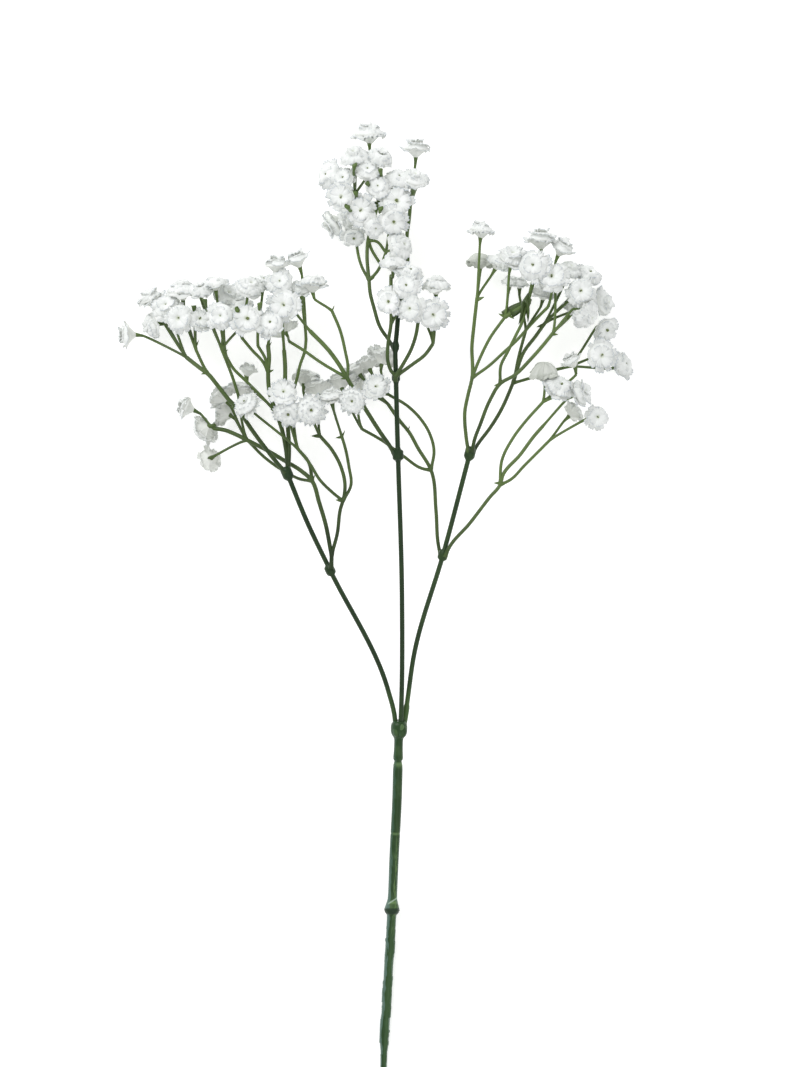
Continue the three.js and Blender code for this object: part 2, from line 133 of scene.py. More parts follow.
SPRAYS = {
  "spray_left_low": [
    [None, ARM_WIDTH, [331, 569, 30], [331.5, 556, 30, "a0"], [330, 547], [326, 526], [319, 502],
      [312, 481, 25, "a1"], [300, 470], [285, 461, 19], [270, 452], [247, 440, 16, "a2"], [235, 434],
      [225, 430], [213, 428, 12, "a4"]],
    ["a1", TWIG_WIDTH, [300, 479], [289, 474, 15], [264, 457, 13], [248, 441, 15.6]],
    ["a1", LIMB_WIDTH, [309, 463], [298, 449, 33, "a3"]],
    ["a0", LIMB_WIDTH, [333, 550], [337, 535], [341, 507], [343, 501, 32, "b0"], [345, 485],
      [341, 467], [332, 450], [320, 436, 31, "b1"]],
    ["b0", TWIG_WIDTH, [332, 492], [320, 480], [310, 464], [298.5, 449.5, 33]],
    ["b0", TWIG_WIDTH, [351, 485], [349, 467], [345, 447], [342, 437, 34, "b2"]],
  ],
  "spray_left_outer": [
    [None, ARM_WIDTH, [286, 473, 31.6], [278, 464], [270, 454], [246, 421], [238, 408, 30, "o0"],
      [232, 403], [218, 386], [208, 374, 27, "o1"], [200, 368], [186, 357, 20, "o2"]],
    ["o1", TWIG_WIDTH, [204, 367], [196, 350, 27, "o3"]],
    ["o0", TWIG_WIDTH, [239, 400], [236, 388], [231, 373], [222, 350, 30, "o4"]],
  ],
  "spray_left_inner": [
    [None, ARM_WIDTH, [288, 473, 28.4], [286, 450, 27], [282, 430], [276, 412, 24, "p0"], [270, 395],
      [268, 372, 24, "p1"], [269, 358], [268, 345, 28, "p5"]],
    ["p0", TWIG_WIDTH, [258, 393], [245, 380], [233, 368], [226, 356, 24, "p2"]],
    ["p1", TWIG_WIDTH, [263, 362], [252, 350], [242, 338, 26, "p3"]],
    ["p1", TWIG_WIDTH, [265, 358], [258, 346, 28, "p4"]],
    [None, ARM_WIDTH, [288, 473, 28.4], [289, 450, 27], [288, 430], [286, 410, 24, "q0"], [285, 385],
      [285, 365], [284, 350, 26, "q1"]],
    ["q0", TWIG_WIDTH, [294, 388], [297, 378], [300, 365], [305, 350], [306, 340, 28, "q2"]],
  ],
  "spray_centre_low": [
    [None, ARM_WIDTH, [395, 455, 35], [391.6, 449, 34.6], [380, 432], [363, 405], [347, 378, 36, "j0"],
      [340, 366], [330, 352], [310, 331, 36, "j2"]],
    ["j0", TWIG_WIDTH, [320, 362], [303, 350], [290, 342, 33, "j1"]],
    ["j0", TWIG_WIDTH, [348, 370], [345, 350], [340, 330], [332, 311, 34, "j3"]],
  ],
  "spray_centre": [
    [None, LIMB_WIDTH, [395.6, 382, 40.6], [395.4, 377, 41.4, "s0"], [391, 371, 42], [388, 362],
      [388, 345, 43], [391, 324, 43, "t0"], [391, 306, 41], [391, 290], [391, 276, 36, "t1"]],
    ["t0", TWIG_WIDTH, [395, 317], [400, 306], [404, 300, 44, "t2"]],
    ["s0", LIMB_WIDTH, [412, 365], [425, 355], [433, 344, 40, "n0"]],
    ["s0", LIMB_WIDTH, [404, 363], [411, 350], [416, 335], [418, 323, 46, "n1"]],
  ],
  "spray_top_left": [
    [None, LIMB_WIDTH, [393.6, 348, 36.6], [390, 342, 35.6], [380, 327], [374, 308], [370, 292],
      [369, 280, 28, "u0"], [367, 255], [368, 240, 22, "u3"], [372, 225], [378, 203, 20, "u4"],
      [381, 190], [381, 179, 28, "u5"]],
    ["u0", TWIG_WIDTH, [362, 267], [357, 247, 14], [356, 228, 11, "u1"], [356, 210],
      [355, 195, 20, "u2"]],
    ["u3", TWIG_WIDTH, [372, 250], [380, 263, 20, "u6"]],
    ["u0", TWIG_WIDTH, [376, 273], [384, 258], [386, 252, 30, "u7"]],
    ["u3", TWIG_WIDTH, [376, 241], [385.6, 252, 29.8]],
  ],
  "spray_top": [
    [None, LIMB_WIDTH, [399.4, 303, 34.2], [403, 290], [407, 268, 30], [408, 256], [407, 235],
      [409, 220, 26], [411, 196, 25, "v0"]],
  ],
  "spray_right_low_inner": [
    [None, LIMB_WIDTH, [440.6, 556, 25.6], [438.4, 545, 25], [436, 510], [431, 470, 26, "x0"],
      [418, 448], [409, 432], [400, 421, 24], [388, 404, 24, "x2"]],
    ["x0", TWIG_WIDTH, [424, 469], [402, 455, 26], [383, 441], [362, 429, 28, "x1"]],
    ["x0", TWIG_WIDTH, [434, 450], [428, 430], [420, 418], [409, 407, 24], [388, 394, 20, "x3"]],
  ],
  "spray_right_low_outer": [
    [None, LIMB_WIDTH, [445, 557, 30.2], [448.4, 549, 31], [470, 523], [490, 497], [500, 485, 30, "y0"],
      [503, 475], [520, 455], [535, 435], [543, 426, 26, "y2"]],
    ["y0", TWIG_WIDTH, [502, 460], [513, 438], [525, 422], [543, 402, 30, "y1"]],
    ["y0", TWIG_WIDTH, [510, 480], [525, 465], [540, 450], [550, 440, 22, "y3"]],
  ],
  "spray_right_inner": [
    [None, LIMB_WIDTH, [468.6, 453, 31.6], [466, 436, 32.6], [465, 410], [468, 395],
      [472, 378, 32, "z0"], [472, 345], [474, 325], [477, 298, 28, "z1"]],
    ["z0", TWIG_WIDTH, [480, 358], [490, 338], [505, 317, 32, "z2"]],
    ["z2", LIMB_WIDTH, [513, 312], [522, 307], [530, 301, 38]],
    ["z0", TWIG_WIDTH, [490, 365], [503, 353], [515, 342, 31], [535, 320, 31], [548, 307, 33, "z3"]],
  ],
  "spray_right_middle": [
    [None, LIMB_WIDTH, [472, 452, 33.2], [474.4, 440, 35], [480, 425], [490, 400], [500, 384, 38, "m0"],
      [515, 375], [530, 360], [545, 343], [553, 333, 38, "m2"]],
    ["m0", TWIG_WIDTH, [501, 365], [507, 353], [521, 325, 38, "m1"]],
  ],
  "spray_right_outer": [
    [None, LIMB_WIDTH, [472.6, 453, 28], [478, 444, 27], [490, 428], [500, 412], [513, 383, 26, "f0"],
      [525, 350], [535, 337], [545, 323, 26, "f2"]],
    ["f0", TWIG_WIDTH, [515, 375], [518, 360], [526, 330, 24, "f1"]],
    ["f0", TWIG_WIDTH, [530, 378], [550, 371, 17], [570, 366, 14, "f3"]],
  ],
}
print("limbs on the plan:", len(STALK) + sum(len(rows) for rows in SPRAYS.values()))

# %% [markdown]
# ## Plan of the blooms
# Blooms and buds are listed under the fork that carries them, where their pedicels will start,
# and bracts under their spray. Such a list could also be rolled by chance, but a real spray has
# its thick and thin spots, and its blooms face the light, so each has its own place and way.

# %% Plan of the blooms
BLOOMS = {
  # top
  "u2": [[355, 159, 38.5, 95, 35, 17.5], [331, 176, 32, 160, 40, 17], [344, 180, 39, 120, 60, 15],
    [342, 198, 42, 180, 75, 16], [367, 172, 42, 80, 50, 15]],
  "u1": [[354, 236, 20, 270, 50, 14], [335, 221, 7, 215, 10, 16.5], [347, 217, 13, 200, 30, 13]],
  "u4": [[361.5, 211, 42, 200, 75, 17], [378, 188, 43, 90, 70, 15], [396, 203, 43, 60, 70, 19],
    [369, 136, 26, 92, 8, 19]],
  "u5": [[380, 160, 38, 70, 35, 16], [398, 182, 37, 75, 35, 16]],
  "u3": [[375, 226, 42, 290, 50, 15]],
  "u7": [[393, 222, 45, 300, 70, 17], [399, 246, 41, 30, 45, 17]],
  "u6": [[397, 257, 18, 350, 40, 14]],
  "v0": [[416, 151, 28, 88, 5, 16], [415.5, 181, 37, 80, 35, 16]],
  # neck
  "t0": [[389, 303, 54, 160, 75, 15.5]],
  "t1": [[393, 266, 44, 92, 15, 16]],
  "t2": [[406, 288, 54, 90, 70, 16.5]],
  "n0": [[432, 315, 54, 320, 75, 17.5], [436, 289, 43, 88, 8, 17], [409, 276, 47, 75, 30, 16]],
  "n1": [[411, 309, 56, 200, 75, 16]],
  # left, outer
  "o2": [[129, 334, 7, 180, 5, 15.5], [153, 325, 11, 200, 20, 15], [167, 307, 22, 120, 55, 17],
    [151, 300, 12, 115, 10, 16]],
  "o3": [[180, 318, 34, 200, 75, 17], [182, 293, 20, 95, 10, 19], [199, 320, 31, 60, 50, 15]],
  "o4": [[222, 317, 45, 160, 75, 17], [247, 320, 47, 60, 70, 19], [200.5, 292, 25, 95, 30, 14.5]],
  # left, inner
  "p2": [[215, 285, 25, 97, 18, 14], [226, 296, 15.5, 68, 45, 17]],
  "p3": [[239, 306, 17, 100, 30, 15], [249, 288, 33, 80, 45, 17]],
  "p4": [[263, 284, 25, 85, 25, 14]],
  "p5": [[271, 324, 43, 110, 70, 16.5]],
  "q1": [[277, 268, 33, 92, 5, 16], [280, 284, 38, 100, 60, 17]],
  "q2": [[298, 262, 27.5, 110, 10, 15], [301, 291, 33, 95, 30, 13]],
  "j1": [[283, 328, 16, 120, -30, 15]],
  "j2": [[285, 305, 43, 200, 75, 18]],
  "j3": [[313, 286, 36, 88, 5, 17]],
  # left, low
  "a4": [[188, 408, 7.4, 160, 0, 15], [204, 429, 10, 215, -30, 16]],
  "a2": [[209, 459, 8, 215, -60, 14], [222, 397, 16, 135, -20, 17], [225, 412, 11, 150, -30, 16],
    [240, 390, 20, 80, -10, 14]],
  "p0": [[247, 372, 12, 80, 0, 12]],
  "a3": [[248, 406, 42, 130, 40, 16], [284, 394, 42, 95, 55, 16], [289, 412, 41, 250, 60, 18]],
  "b1": [[310.5, 410, 44, 330, 75, 18.5], [305, 379, 14, 75, -20, 16], [318, 389, 15, 95, -25, 15.5]],
  "b2": [[331.5, 399, 42, 100, 15, 15]],
  "x1": [[353, 401, 46, 200, 75, 16], [340, 383, 14, 110, -30, 16]],
  "x2": [[358, 387, 8, 150, -20, 14], [357, 371, 12, 130, -25, 15]],
  "x3": [[376, 388, 27, 100, 60, 15], [368, 364, 12, 110, -25, 15], [383, 358, 14, 75, -25, 18]],
  # right
  "z1": [[481, 232, 26, 85, 5, 15.5], [480, 263, 15, 90, -10, 16], [498, 264, 20, 60, 20, 14]],
  "z2": [[512, 261, 38, 75, 30, 18], [510, 283, 22, 80, 20, 10]],
  "z3": [[552, 278, 43, 100, 60, 19]],
  "m1": [[533, 267, 45, 120, 75, 19], [541, 242, 30, 90, 5, 18]],
  "m2": [[574, 309, 23.5, 60, 30, 13], [584, 314, 40, 320, 30, 18], [561, 250, 27, 60, 20, 16]],
  "f1": [[544, 294, 18, 80, 20, 14.5], [520, 284, 20, 85, 20, 10]],
  "f2": [[569, 272, 25, 70, 30, 15], [588, 276, 20, 60, 35, 16], [580, 292, 41, 30, 70, 17.5],
    [603, 302, 10, 10, 35, 16]],
  "f3": [[601, 355, 32, 0, 75, 17], [621.8, 365, 6.2, 20, 35, 15.5], [606, 328, 14, 320, 50, 15]],
  # right, low
  "y1": [[544, 374, 34, 95, 20, 18], [573, 363, 26, 120, 10, 13], [558.5, 389, 37, 60, 40, 18]],
  "y2": [[578, 394, 35, 20, 25, 16]],
  "y3": [[573, 413, 15, 40, -20, 14], [597, 417, 30, 330, 70, 14.5]],
}
# Empty calyces between the blooms, by fork: plan x, plan y, height, heading and lift.
BUDS = {"u2": [(354.5, 167, 49, 80, 40), (356, 194, 47, 100, 40)],
        "u5": [(380.5, 171, 48, 100, 30), (367.5, 184, 47, 110, 40)],
        "u4": [(380.5, 210, 50, 80, 50), (348, 208, 49, 100, 45)],
        "o4": [(205.5, 301, 44, 95, 40)], "o3": [(194, 307, 32, 95, 40)],
        "p3": [(238, 311, 50, 90, 50)], "p4": [(260, 305, 48, 85, 45)]}
# Bracts on each spray: plan x, plan y, heading, lift, and length in millimetres. A bract grows
# from the nearest limb of its spray. Two more numbers make it a leaf: its breadth and its tone.
BRACTS = {
    "spray_left_outer": [[200, 346, 60, 10, 3.5], [190, 354, 130, 10, 3.5], [207, 372, 200, 10, 3],
                         [216, 347, 100, 10, 3], [229, 351, 40, 10, 3], [238, 407, 170, 10, 3.5]],
    "spray_left_inner": [[272, 347, 50, 10, 3], [276, 411, 150, 10, 3], [286, 409, 30, 10, 3],
                         [268, 371, 20, 10, 3]],
    "spray_left_low": [[343, 501, 170, 10, 3.5], [312, 481, 60, 10, 3.5], [320, 436, 180, 10, 4],
                       [345, 435, 60, 10, 3.5], [338, 437, 190, 10, 3]],
    "spray_centre_low": [[332, 311, 60, 10, 3], [348, 378, 190, 10, 3]],
    "spray_right_inner": [[477, 299, 20, 10, 4], [505, 317, 150, 10, 3.5], [508, 316, 330, 10, 3.5],
                          [472, 377, 20, 10, 3], [506, 315, 34, 8, 9, 1.5, 0.45],
                          [513, 311, 30, 8, 8, 1.9, 0.4], [524, 305, 262, 5, 9, 2.4, 0.35],
                          [527, 303, 280, 5, 9, 2.2, 0.35], [529, 302, 80, 10, 5, 2.2, 0.4],
                          [530, 302, 255, 8, 6, 2, 0.4], [521, 306, 60, 10, 7, 2, 0.4]],
    "spray_right_middle": [[553, 336, 0, 10, 3], [500, 384, 200, 10, 3]],
    "spray_right_outer": [[544, 324, 200, 10, 3.5], [514, 382, 350, 10, 3]],
    "spray_right_low_inner": [[408, 431, 60, 10, 2.5], [431, 469, 100, 10, 3]],
    "spray_right_low_outer": [[500, 484, 180, 10, 3]],
    "spray_top_left": [[356, 226, 200, 10, 3], [369, 280, 20, 10, 3]],
}
print("blooms:", sum(map(len, BLOOMS.values())), "buds:", sum(map(len, BUDS.values())),
      "bracts and leaves:", sum(map(len, BRACTS.values())))

# %% [markdown]
# ## Smooth limbs
# A moulded limb has no corners: it bends evenly from one plan point to the next. A curve drawn
# by hand needs two handles at each point. Here they follow the way through the point, so that a
# limb is drawn by its points alone, and the curve is then walked in short steps.

# %% Limb points
def limb_points(start, rows):
    """Places of a limb's plan points. A missing height follows the length of the path."""
    points = [start.copy()] if start else []
    heights = [start.z] if start else []
    for row in rows:
        points.append(plan(row[0], row[1]))
        heights.append(row[2] if len(row) > 2 else None)
    for i in range(1, len(points)):
        if heights[i] is None:
            end = next(k for k in range(i, len(points)) if heights[k] is not None)
            spans = [(points[k + 1] - points[k]).xy.length for k in range(i - 1, end)]
            climb = (heights[end] - heights[i - 1]) / sum(spans)
            for k in range(i, end):
                heights[k] = heights[k - 1] + climb * spans[k - i]
    for point, height in zip(points, heights):
        point.z = height
    return points


print("heights up the centre branch:",
      [round(point.z, 1) for point in limb_points(None, STALK["centre_branch"][2:])])

# %% [markdown]
# ## Curves in short steps
# Blender draws a Bezier curve with steps of its own choice, which leaves no say in where a limb
# gets thicker. The same curve worked out here gives its places one by one, and each place can
# then have a radius and a tone.

# %% Curves
def cubic(start, first, second, end, steps):
    """Places along a curve with two handles. Its end is left out."""
    places = []
    for k in range(steps):
        t = k / steps
        s = 1 - t
        places.append(s**3 * start + 3 * s * s * t * first + 3 * s * t * t * second + t**3 * end)
    return places


def walk(points, step):
    """Places along a smooth curve through the points, a step apart."""
    ways = []
    for i, point in enumerate(points):
        before = point - points[i - 1] if i else None
        after = points[i + 1] - point if i + 1 < len(points) else None
        if before and after:
            way = before.normalized() * after.length + after.normalized() * before.length
        else:
            way = before or after
        ways.append(way.normalized())
    places = []
    for a, b, leaving, arriving in zip(points, points[1:], ways, ways[1:]):
        reach = (b - a).length / 3
        steps = max(1, round(3 * reach / step))
        places += cubic(a, a + leaving * reach, b - arriving * reach, b, steps)
    return [*places, points[-1].copy()]


def distances(places):
    """How far along a path each of its places is."""
    along = [0.0]
    for a, b in zip(places, places[1:]):
        along.append(along[-1] + (b - a).length)
    return along


STEP = 1.2  # millimetres from one place on a limb to the next
print("length of the centre branch:",
      round(distances(walk(limb_points(None, STALK["centre_branch"][2:]), STEP))[-1]), "mm")

# %% [markdown]
# ## Knobs and tones
# Where a limb passes a knob, its radius swells and falls again. Each limb also carries a tone that
# runs from 0, the dark green near a knob, to 1, the lighter olive of the twigs. The branches
# stay dark all the way, so their tone fades in over a length that they never reach.

# %% Limb paths
KNOB_END, KNOB_SHOULDER = 1.12, 0.42  # as shares of half its length
NO_FADE = 1e6


def ease(value):
    """0 to 1 with a gentle start and end."""
    value = min(max(value, 0.0), 1.0)
    return value * value * (3 - 2 * value)


forks = {}  # name: its place, the way a limb arrives there, and the limb's tone there


def limb_path(row, step, tone, fade):
    """Places, radii and tones along one limb. The forks that it carries are written down."""
    start, width, *rows = row
    points = limb_points(forks[start][0] if start else None, rows)
    names = [point[3] if len(point) > 3 else None for point in rows]
    if start:
        names.insert(0, None)
    if names[-1] in KNOBS:
        way = (points[-1] - points[-2]).normalized()
        points.append(points[-1] + way * KNOBS[names[-1]][1] / 2)
    places = walk(points, step)
    along = distances(places)
    tones = [min(1.0, tone + s / fade) for s in along]
    radii = [width / 2] * len(places)
    for i, name in enumerate(names):
        if name:
            nearest = min(range(len(places)), key=lambda k: (places[k] - points[i]).length)
            way = (points[i] - points[i - 1] if i else points[1] - points[0]).normalized()
            forks[name] = (points[i], way, tones[nearest])
        if name in KNOBS:
            knob_width, length = KNOBS[name]
            for k, s in enumerate(along):
                t = abs(s - along[nearest]) * 2 / length
                swell = ease((KNOB_END - t) / KNOB_SHOULDER)
                radii[k] = max(radii[k], width / 2 + (knob_width - width) / 2 * swell)
    return places, radii, tones


STEM_STEP = 0.5
stalk = {name: limb_path(row, STEM_STEP if name == "main_stem" else STEP, 0.0, NO_FADE)
         for name, row in STALK.items()}
print("steps along the stalk:", {name: len(path[0]) for name, path in stalk.items()})

# %% [markdown]
# ## Widths of the stem
# The stem is cast in two lengths, so it has a node where they meet and a groove under the cup.
# They could be rings cut into it, but all are round, so they are changes of radius along one
# tube, given at their plan height. The right branch leaves the cup in a thicker sleeve,
# and all three branches have paler feet.

# %% Stem widths
# Places down the stem, in plan squares, where its width changes, and the widths in millimetres.
STEM_WIDTHS = [
    (722, 7.6), (724, 9.4), (727, 10.0), (732, 9.9), (735, 8.6), (737, 6.8), (739, 5.6), (742, 5.3),
    (750, 5.4), (757, 5.9), (759.5, 5.8), (761, 4.5), (762.5, 4.6), (765, 5.5), (770, 5.9),
    (832, 5.8), (834, 5.5), (836, 5.8), (860, 5.7), (894, 5.5), (900, 5.7), (904, 6.9), (909, 8.8),
    (911.5, 9.4), (914, 8.2), (916.5, 5.7), (920, 5.6), (960, 5.6), (1046, 5.4), (1054, 4.2),
    (1067, 3.9), (1104, 3.9)]
# Where the same stem is painted paler, as painted highlights, and how much.
STEM_HIGHLIGHTS = [(722, 0.0), (761, 0.0), (763.5, 0.7), (767, 0.2), (770, 0.0), (832, 0.0), (834, 0.8),
             (836, 0.0), (901, 0.0), (903, 1.0), (905, 0.2), (910, 0.2), (912, 0.0), (1104, 0.0)]
FOOT_TONES = {"left_branch": (0.5, 0.05), "centre_branch": (0.2, 0.0), "right_branch": (0.95, 0.22)}
FOOT_LENGTH, FOOT_FADE = 30.0, 12.0
SLEEVE_LENGTH, SLEEVE_END, SLEEVE_WALL = 15.0, 3.0, 0.45


def value_at(table, square):
    """Value between the two nearest rows of a table."""
    for (a, low), (b, high) in zip(table, table[1:]):
        if square <= b:
            return low + (high - low) * min(max((square - a) / (b - a), 0), 1)
    return table[-1][1]


places, radii, tones = stalk["main_stem"]
for k, place in enumerate(places):
    radii[k] = value_at(STEM_WIDTHS, square_down(place.y)) / 2
    tones[k] = value_at(STEM_HIGHLIGHTS, square_down(place.y))
for name, (foot, rest) in FOOT_TONES.items():
    places, radii, tones = stalk[name]
    for k, run in enumerate(distances(places)):
        if name == "right_branch":
            radii[k] += SLEEVE_WALL * ease((SLEEVE_LENGTH - run) / SLEEVE_END)
        tones[k] = max(tones[k], rest, foot * ease((FOOT_LENGTH - run) / FOOT_FADE))
print("widest place:", {name: round(2 * max(path[1]), 1) for name, path in stalk.items()}, "mm")

# %% [markdown]
# ## Working as by hand
# Blender's operators act on what is selected, as a hand does. A few short helpers select pieces,
# join them and open a mesh for editing, so that each step below says only what it does.

# %% Hand helpers
def only(*pieces):
    """Selects these pieces and makes the first one active."""
    bpy.ops.object.select_all(action="DESELECT")
    for piece in pieces:
        piece.select_set(True)
    bpy.context.view_layer.objects.active = pieces[0]


def join(name, pieces):
    """One piece from several."""
    only(*pieces)
    bpy.ops.object.join()
    pieces[0].name = pieces[0].data.name = name
    return pieces[0]


def edit_all():
    """Opens the active mesh for editing, with all of it selected."""
    bpy.ops.object.mode_set(mode="EDIT")
    bpy.ops.mesh.select_all(action="SELECT")


def close_outwards():
    """Turns all faces outwards and ends the editing."""
    bpy.ops.mesh.select_all(action="SELECT")
    bpy.ops.mesh.normals_make_consistent(inside=False)
    bpy.ops.object.mode_set(mode="OBJECT")


def smooth(degrees):
    """Smooths the edges that bend less than an angle."""
    bpy.ops.object.shade_smooth_by_angle(angle=math.radians(degrees))


print("selected now:", len(bpy.context.selected_objects))

# %% [markdown]
# ## Tubes
# The limbs of one spray become one curve object with a round bevel and a radius of its own at
# each point. A bevelled curve keeps its round section through every bend, so it is the quickest
# clean tube in Blender. Turned into a mesh, each of its points takes the tone of the nearest
# place on a limb.

# %% Tubes
TONE = "tone"
STALK_ROUNDNESS, SPRAY_ROUNDNESS = 4, 3
SAME_POINT = 0.001 * MM


def mark(piece, name, values):
    """Writes a value for each point of a mesh."""
    attribute = piece.data.attributes.new(name, "FLOAT", "POINT")
    attribute.data.foreach_set("value", values)


def search_tree(places):
    """A tree that finds the number of the place nearest to a point."""
    tree = KDTree(len(places))
    for i, place in enumerate(places):
        tree.insert(place, i)
    tree.balance()
    return tree


def tubes(name, paths, roundness):
    """One mesh of round tubes. A path is places, radii and tones."""
    drawing = bpy.data.curves.new(name, "CURVE")
    drawing.dimensions = "3D"
    drawing.bevel_depth = MM
    drawing.bevel_resolution = roundness
    drawing.use_fill_caps = True
    for places, radii, _ in paths:
        spline = drawing.splines.new("POLY")
        spline.points.add(len(places) - 1)
        for point, place, radius in zip(spline.points, places, radii):
            point.co = (*(place * MM), 1)
            point.radius = radius
    piece = bpy.data.objects.new(name, drawing)
    scene.collection.objects.link(piece)
    only(piece)
    bpy.ops.object.convert(target="MESH")
    piece = bpy.context.object
    edit_all()
    bpy.ops.mesh.remove_doubles(threshold=SAME_POINT)
    close_outwards()
    smooth(50)
    nearest = search_tree([place * MM for places, _, _ in paths for place in places])
    tones = [tone for _, _, tones in paths for tone in tones]
    mark(piece, TONE, [tones[nearest.find(v.co)[1]] for v in piece.data.vertices])
    return piece


pieces = {name: tubes(name + "_moulded", [path], STALK_ROUNDNESS) for name, path in stalk.items()}
print("faces of the stalk:", {name: len(piece.data.polygons) for name, piece in pieces.items()})

# %% [markdown]
# ## The cup's lips
# The cup at the top of the stem is closed by two pressed lips and a nub whose pale tone is a painted
# highlight. They are soft blobs without an edge, so a sphere scaled three ways and sunk into the
# cup is all they need.

# %% Lips
# Plan place, size and tone. The third, the nub, is painted pale as a painted highlight.
LIPS = [((396.8, 730.2, 25.8), (5.4, 8.8, 5.6), 0.2), ((402.0, 731.0, 26.0), (6.2, 8.8, 6.2), 0.05),
        ((401.6, 728.0, 28.0), (3.2, 5.0, 2.6), 0.5)]
lips = []
for place, size, tone in LIPS:
    bpy.ops.mesh.primitive_uv_sphere_add(segments=24, ring_count=12, radius=0.5,
                                         location=plan(*place) * MM)
    lip = bpy.context.object
    lip.scale = Vector(size) * MM
    bpy.ops.object.transform_apply(location=True, scale=True)
    bpy.ops.object.shade_smooth()
    mark(lip, TONE, [tone] * len(lip.data.vertices))
    lips.append(lip)
pieces["main_stem"] = join("main_stem_moulded", [pieces["main_stem"], *lips])
print("lips:", len(lips), "faces of the stem with them:", len(pieces["main_stem"].data.polygons))

# %% [markdown]
# ## The torn fin
# Below the node the mould has leaked, and a torn thin fin runs down both sides of the stem. A
# separate strip would show its join, so the stem's own points at both sides are pulled out by
# lengths that change at uneven steps.

# %% Fin
FIN_FROM, FIN_TO = 928, 1058  # plan squares
FIN_STEPS = (2, 3, 4, 7, 12)
FIN_LEAST, FIN_MOST = -0.15, 0.45
FIN_SIDE = 0.8  # how far a point has to look sideways to be pulled
FIN_SEED = 8

chance = random.Random(FIN_SEED)
fins = {-1: [], 1: []}
for steps in fins.values():
    edge = FIN_FROM
    while edge < FIN_TO:
        edge += chance.choice(FIN_STEPS)
        steps.append((edge, chance.uniform(FIN_LEAST, FIN_MOST)))
for vertex in pieces["main_stem"].data.vertices:
    square = square_down(vertex.co.y / MM)
    side = math.copysign(1, vertex.normal.x)
    if FIN_FROM < square < FIN_TO and abs(vertex.normal.x) > FIN_SIDE:
        vertex.co.x += side * next(reach for edge, reach in fins[side] if square <= edge) * MM

TABLE_GAP = 0.02 * MM


def rest_on_table(piece):
    """Presses a piece flat where it would pass through the table."""
    for vertex in piece.data.vertices:
        vertex.co.z = max(vertex.co.z, TABLE_GAP)


rest_on_table(pieces["main_stem"])
print("steps of the fin on each side:", [len(steps) for steps in fins.values()])

# %% [markdown]
# ## Calyx
# Every pedicel ends in a small funnel with five pointed sepals. It is drawn up ring by ring from
# a small circle, which gives control of its flare at each height, and every second point of its
# rim is then pulled up and out into a sepal's tip.

# %% Calyx
def draw_rings(rings, **circle):
    """A round shape drawn ring by ring from a circle. A ring is a radius and a height."""
    (radius, height), *others = rings
    bpy.ops.mesh.primitive_circle_add(radius=radius, location=(0, 0, height), **circle)
    piece = bpy.context.object
    bpy.ops.object.transform_apply(location=True)
    edit_all()
    for wider, higher in others:
        bpy.ops.mesh.extrude_region_move(TRANSFORM_OT_translate={"value": (0, 0, higher - height)})
        bpy.ops.transform.resize(value=(wider / radius, wider / radius, 1))
        radius, height = wider, higher
    close_outwards()
    return piece


def choose(piece, test):
    """In edit mode, selects the points that pass a test, and gives their middle."""
    bpy.ops.mesh.select_all(action="DESELECT")
    shape = bmesh.from_edit_mesh(piece.data)
    chosen = [vertex for vertex in shape.verts if test(vertex)]
    for vertex in chosen:
        vertex.select_set(True)
    shape.select_flush(True)
    bmesh.update_edit_mesh(piece.data)
    return sum((vertex.co for vertex in chosen), Vector()) / len(chosen)


SEPALS = 5
CALYX_RINGS = [(0.5, 0), (0.56, 0.3), (0.7, 0.6), (0.826, 0.82), (0.89208, 0.94)]
TIP_RISE, TIP_FLARE = 0.3, 1.15


def column_of(point, columns):
    """Number of the column of a round shape that a point stands in."""
    return round(math.atan2(point.y, point.x) * columns / math.tau) % columns


def model_calyx():
    """A calyx of height 1 and rim radius 1, its foot at the origin."""
    piece = draw_rings(CALYX_RINGS, vertices=2 * SEPALS, fill_type="NGON")
    edit_all()
    rim = CALYX_RINGS[-1][1] - 0.01
    choose(piece, lambda v: v.co.z > rim and column_of(v.co, 2 * SEPALS) % 2)
    bpy.ops.transform.resize(value=(TIP_FLARE, TIP_FLARE, 1), center_override=(0, 0, 0))
    bpy.ops.transform.translate(value=(0, 0, TIP_RISE))
    bpy.ops.object.mode_set(mode="OBJECT")
    bpy.ops.object.shade_smooth()
    return piece


calyx = model_calyx()
print("calyx faces:", len(calyx.data.polygons))

# %% [markdown]
# ## Bract
# Short pointed bracts stand at the forks, where two real leaves once were. A cylinder with six
# sides lies along X, and its end is drawn out three times, each time smaller and a little higher.

# %% Bract
BRACT_FOOT = 0.3
# How far ahead, how far up and how much smaller each next part of a bract is.
BRACT_PARTS = ((0.3, 0.03, 0.85), (0.3, 0.08, 0.6), (0.25, 0.1, 0.2))
BRACT_FLATNESS = 0.55


def model_bract():
    """A bract of length 1 along X, a narrow pointed scale that bends up."""
    bpy.ops.mesh.primitive_cylinder_add(vertices=6, radius=0.18, depth=BRACT_FOOT,
                                        rotation=(0, math.pi / 2, 0))
    piece = bpy.context.object
    bpy.ops.object.transform_apply(location=True, rotation=True, scale=True)
    bpy.ops.object.mode_set(mode="EDIT")
    choose(piece, lambda v: v.co.x > 0)
    for ahead, up, shrink in BRACT_PARTS:
        bpy.ops.mesh.extrude_region_move(TRANSFORM_OT_translate={"value": (ahead, 0, up)})
        bpy.ops.transform.resize(value=(1, shrink, shrink))
    bpy.ops.mesh.select_all(action="SELECT")
    bpy.ops.transform.resize(value=(1, 1, BRACT_FLATNESS))
    bpy.ops.object.mode_set(mode="OBJECT")
    bpy.ops.object.shade_smooth()
    return piece


bract = model_bract()
print("bract faces:", len(bract.data.polygons))

# %% [markdown]
# ## Pedicels
# A pedicel starts along its twig and ends square to the bloom's back. A straight rod would break
# both ways, so it is one cubic curve with two handles, and its calyx leans halfway to the twig.

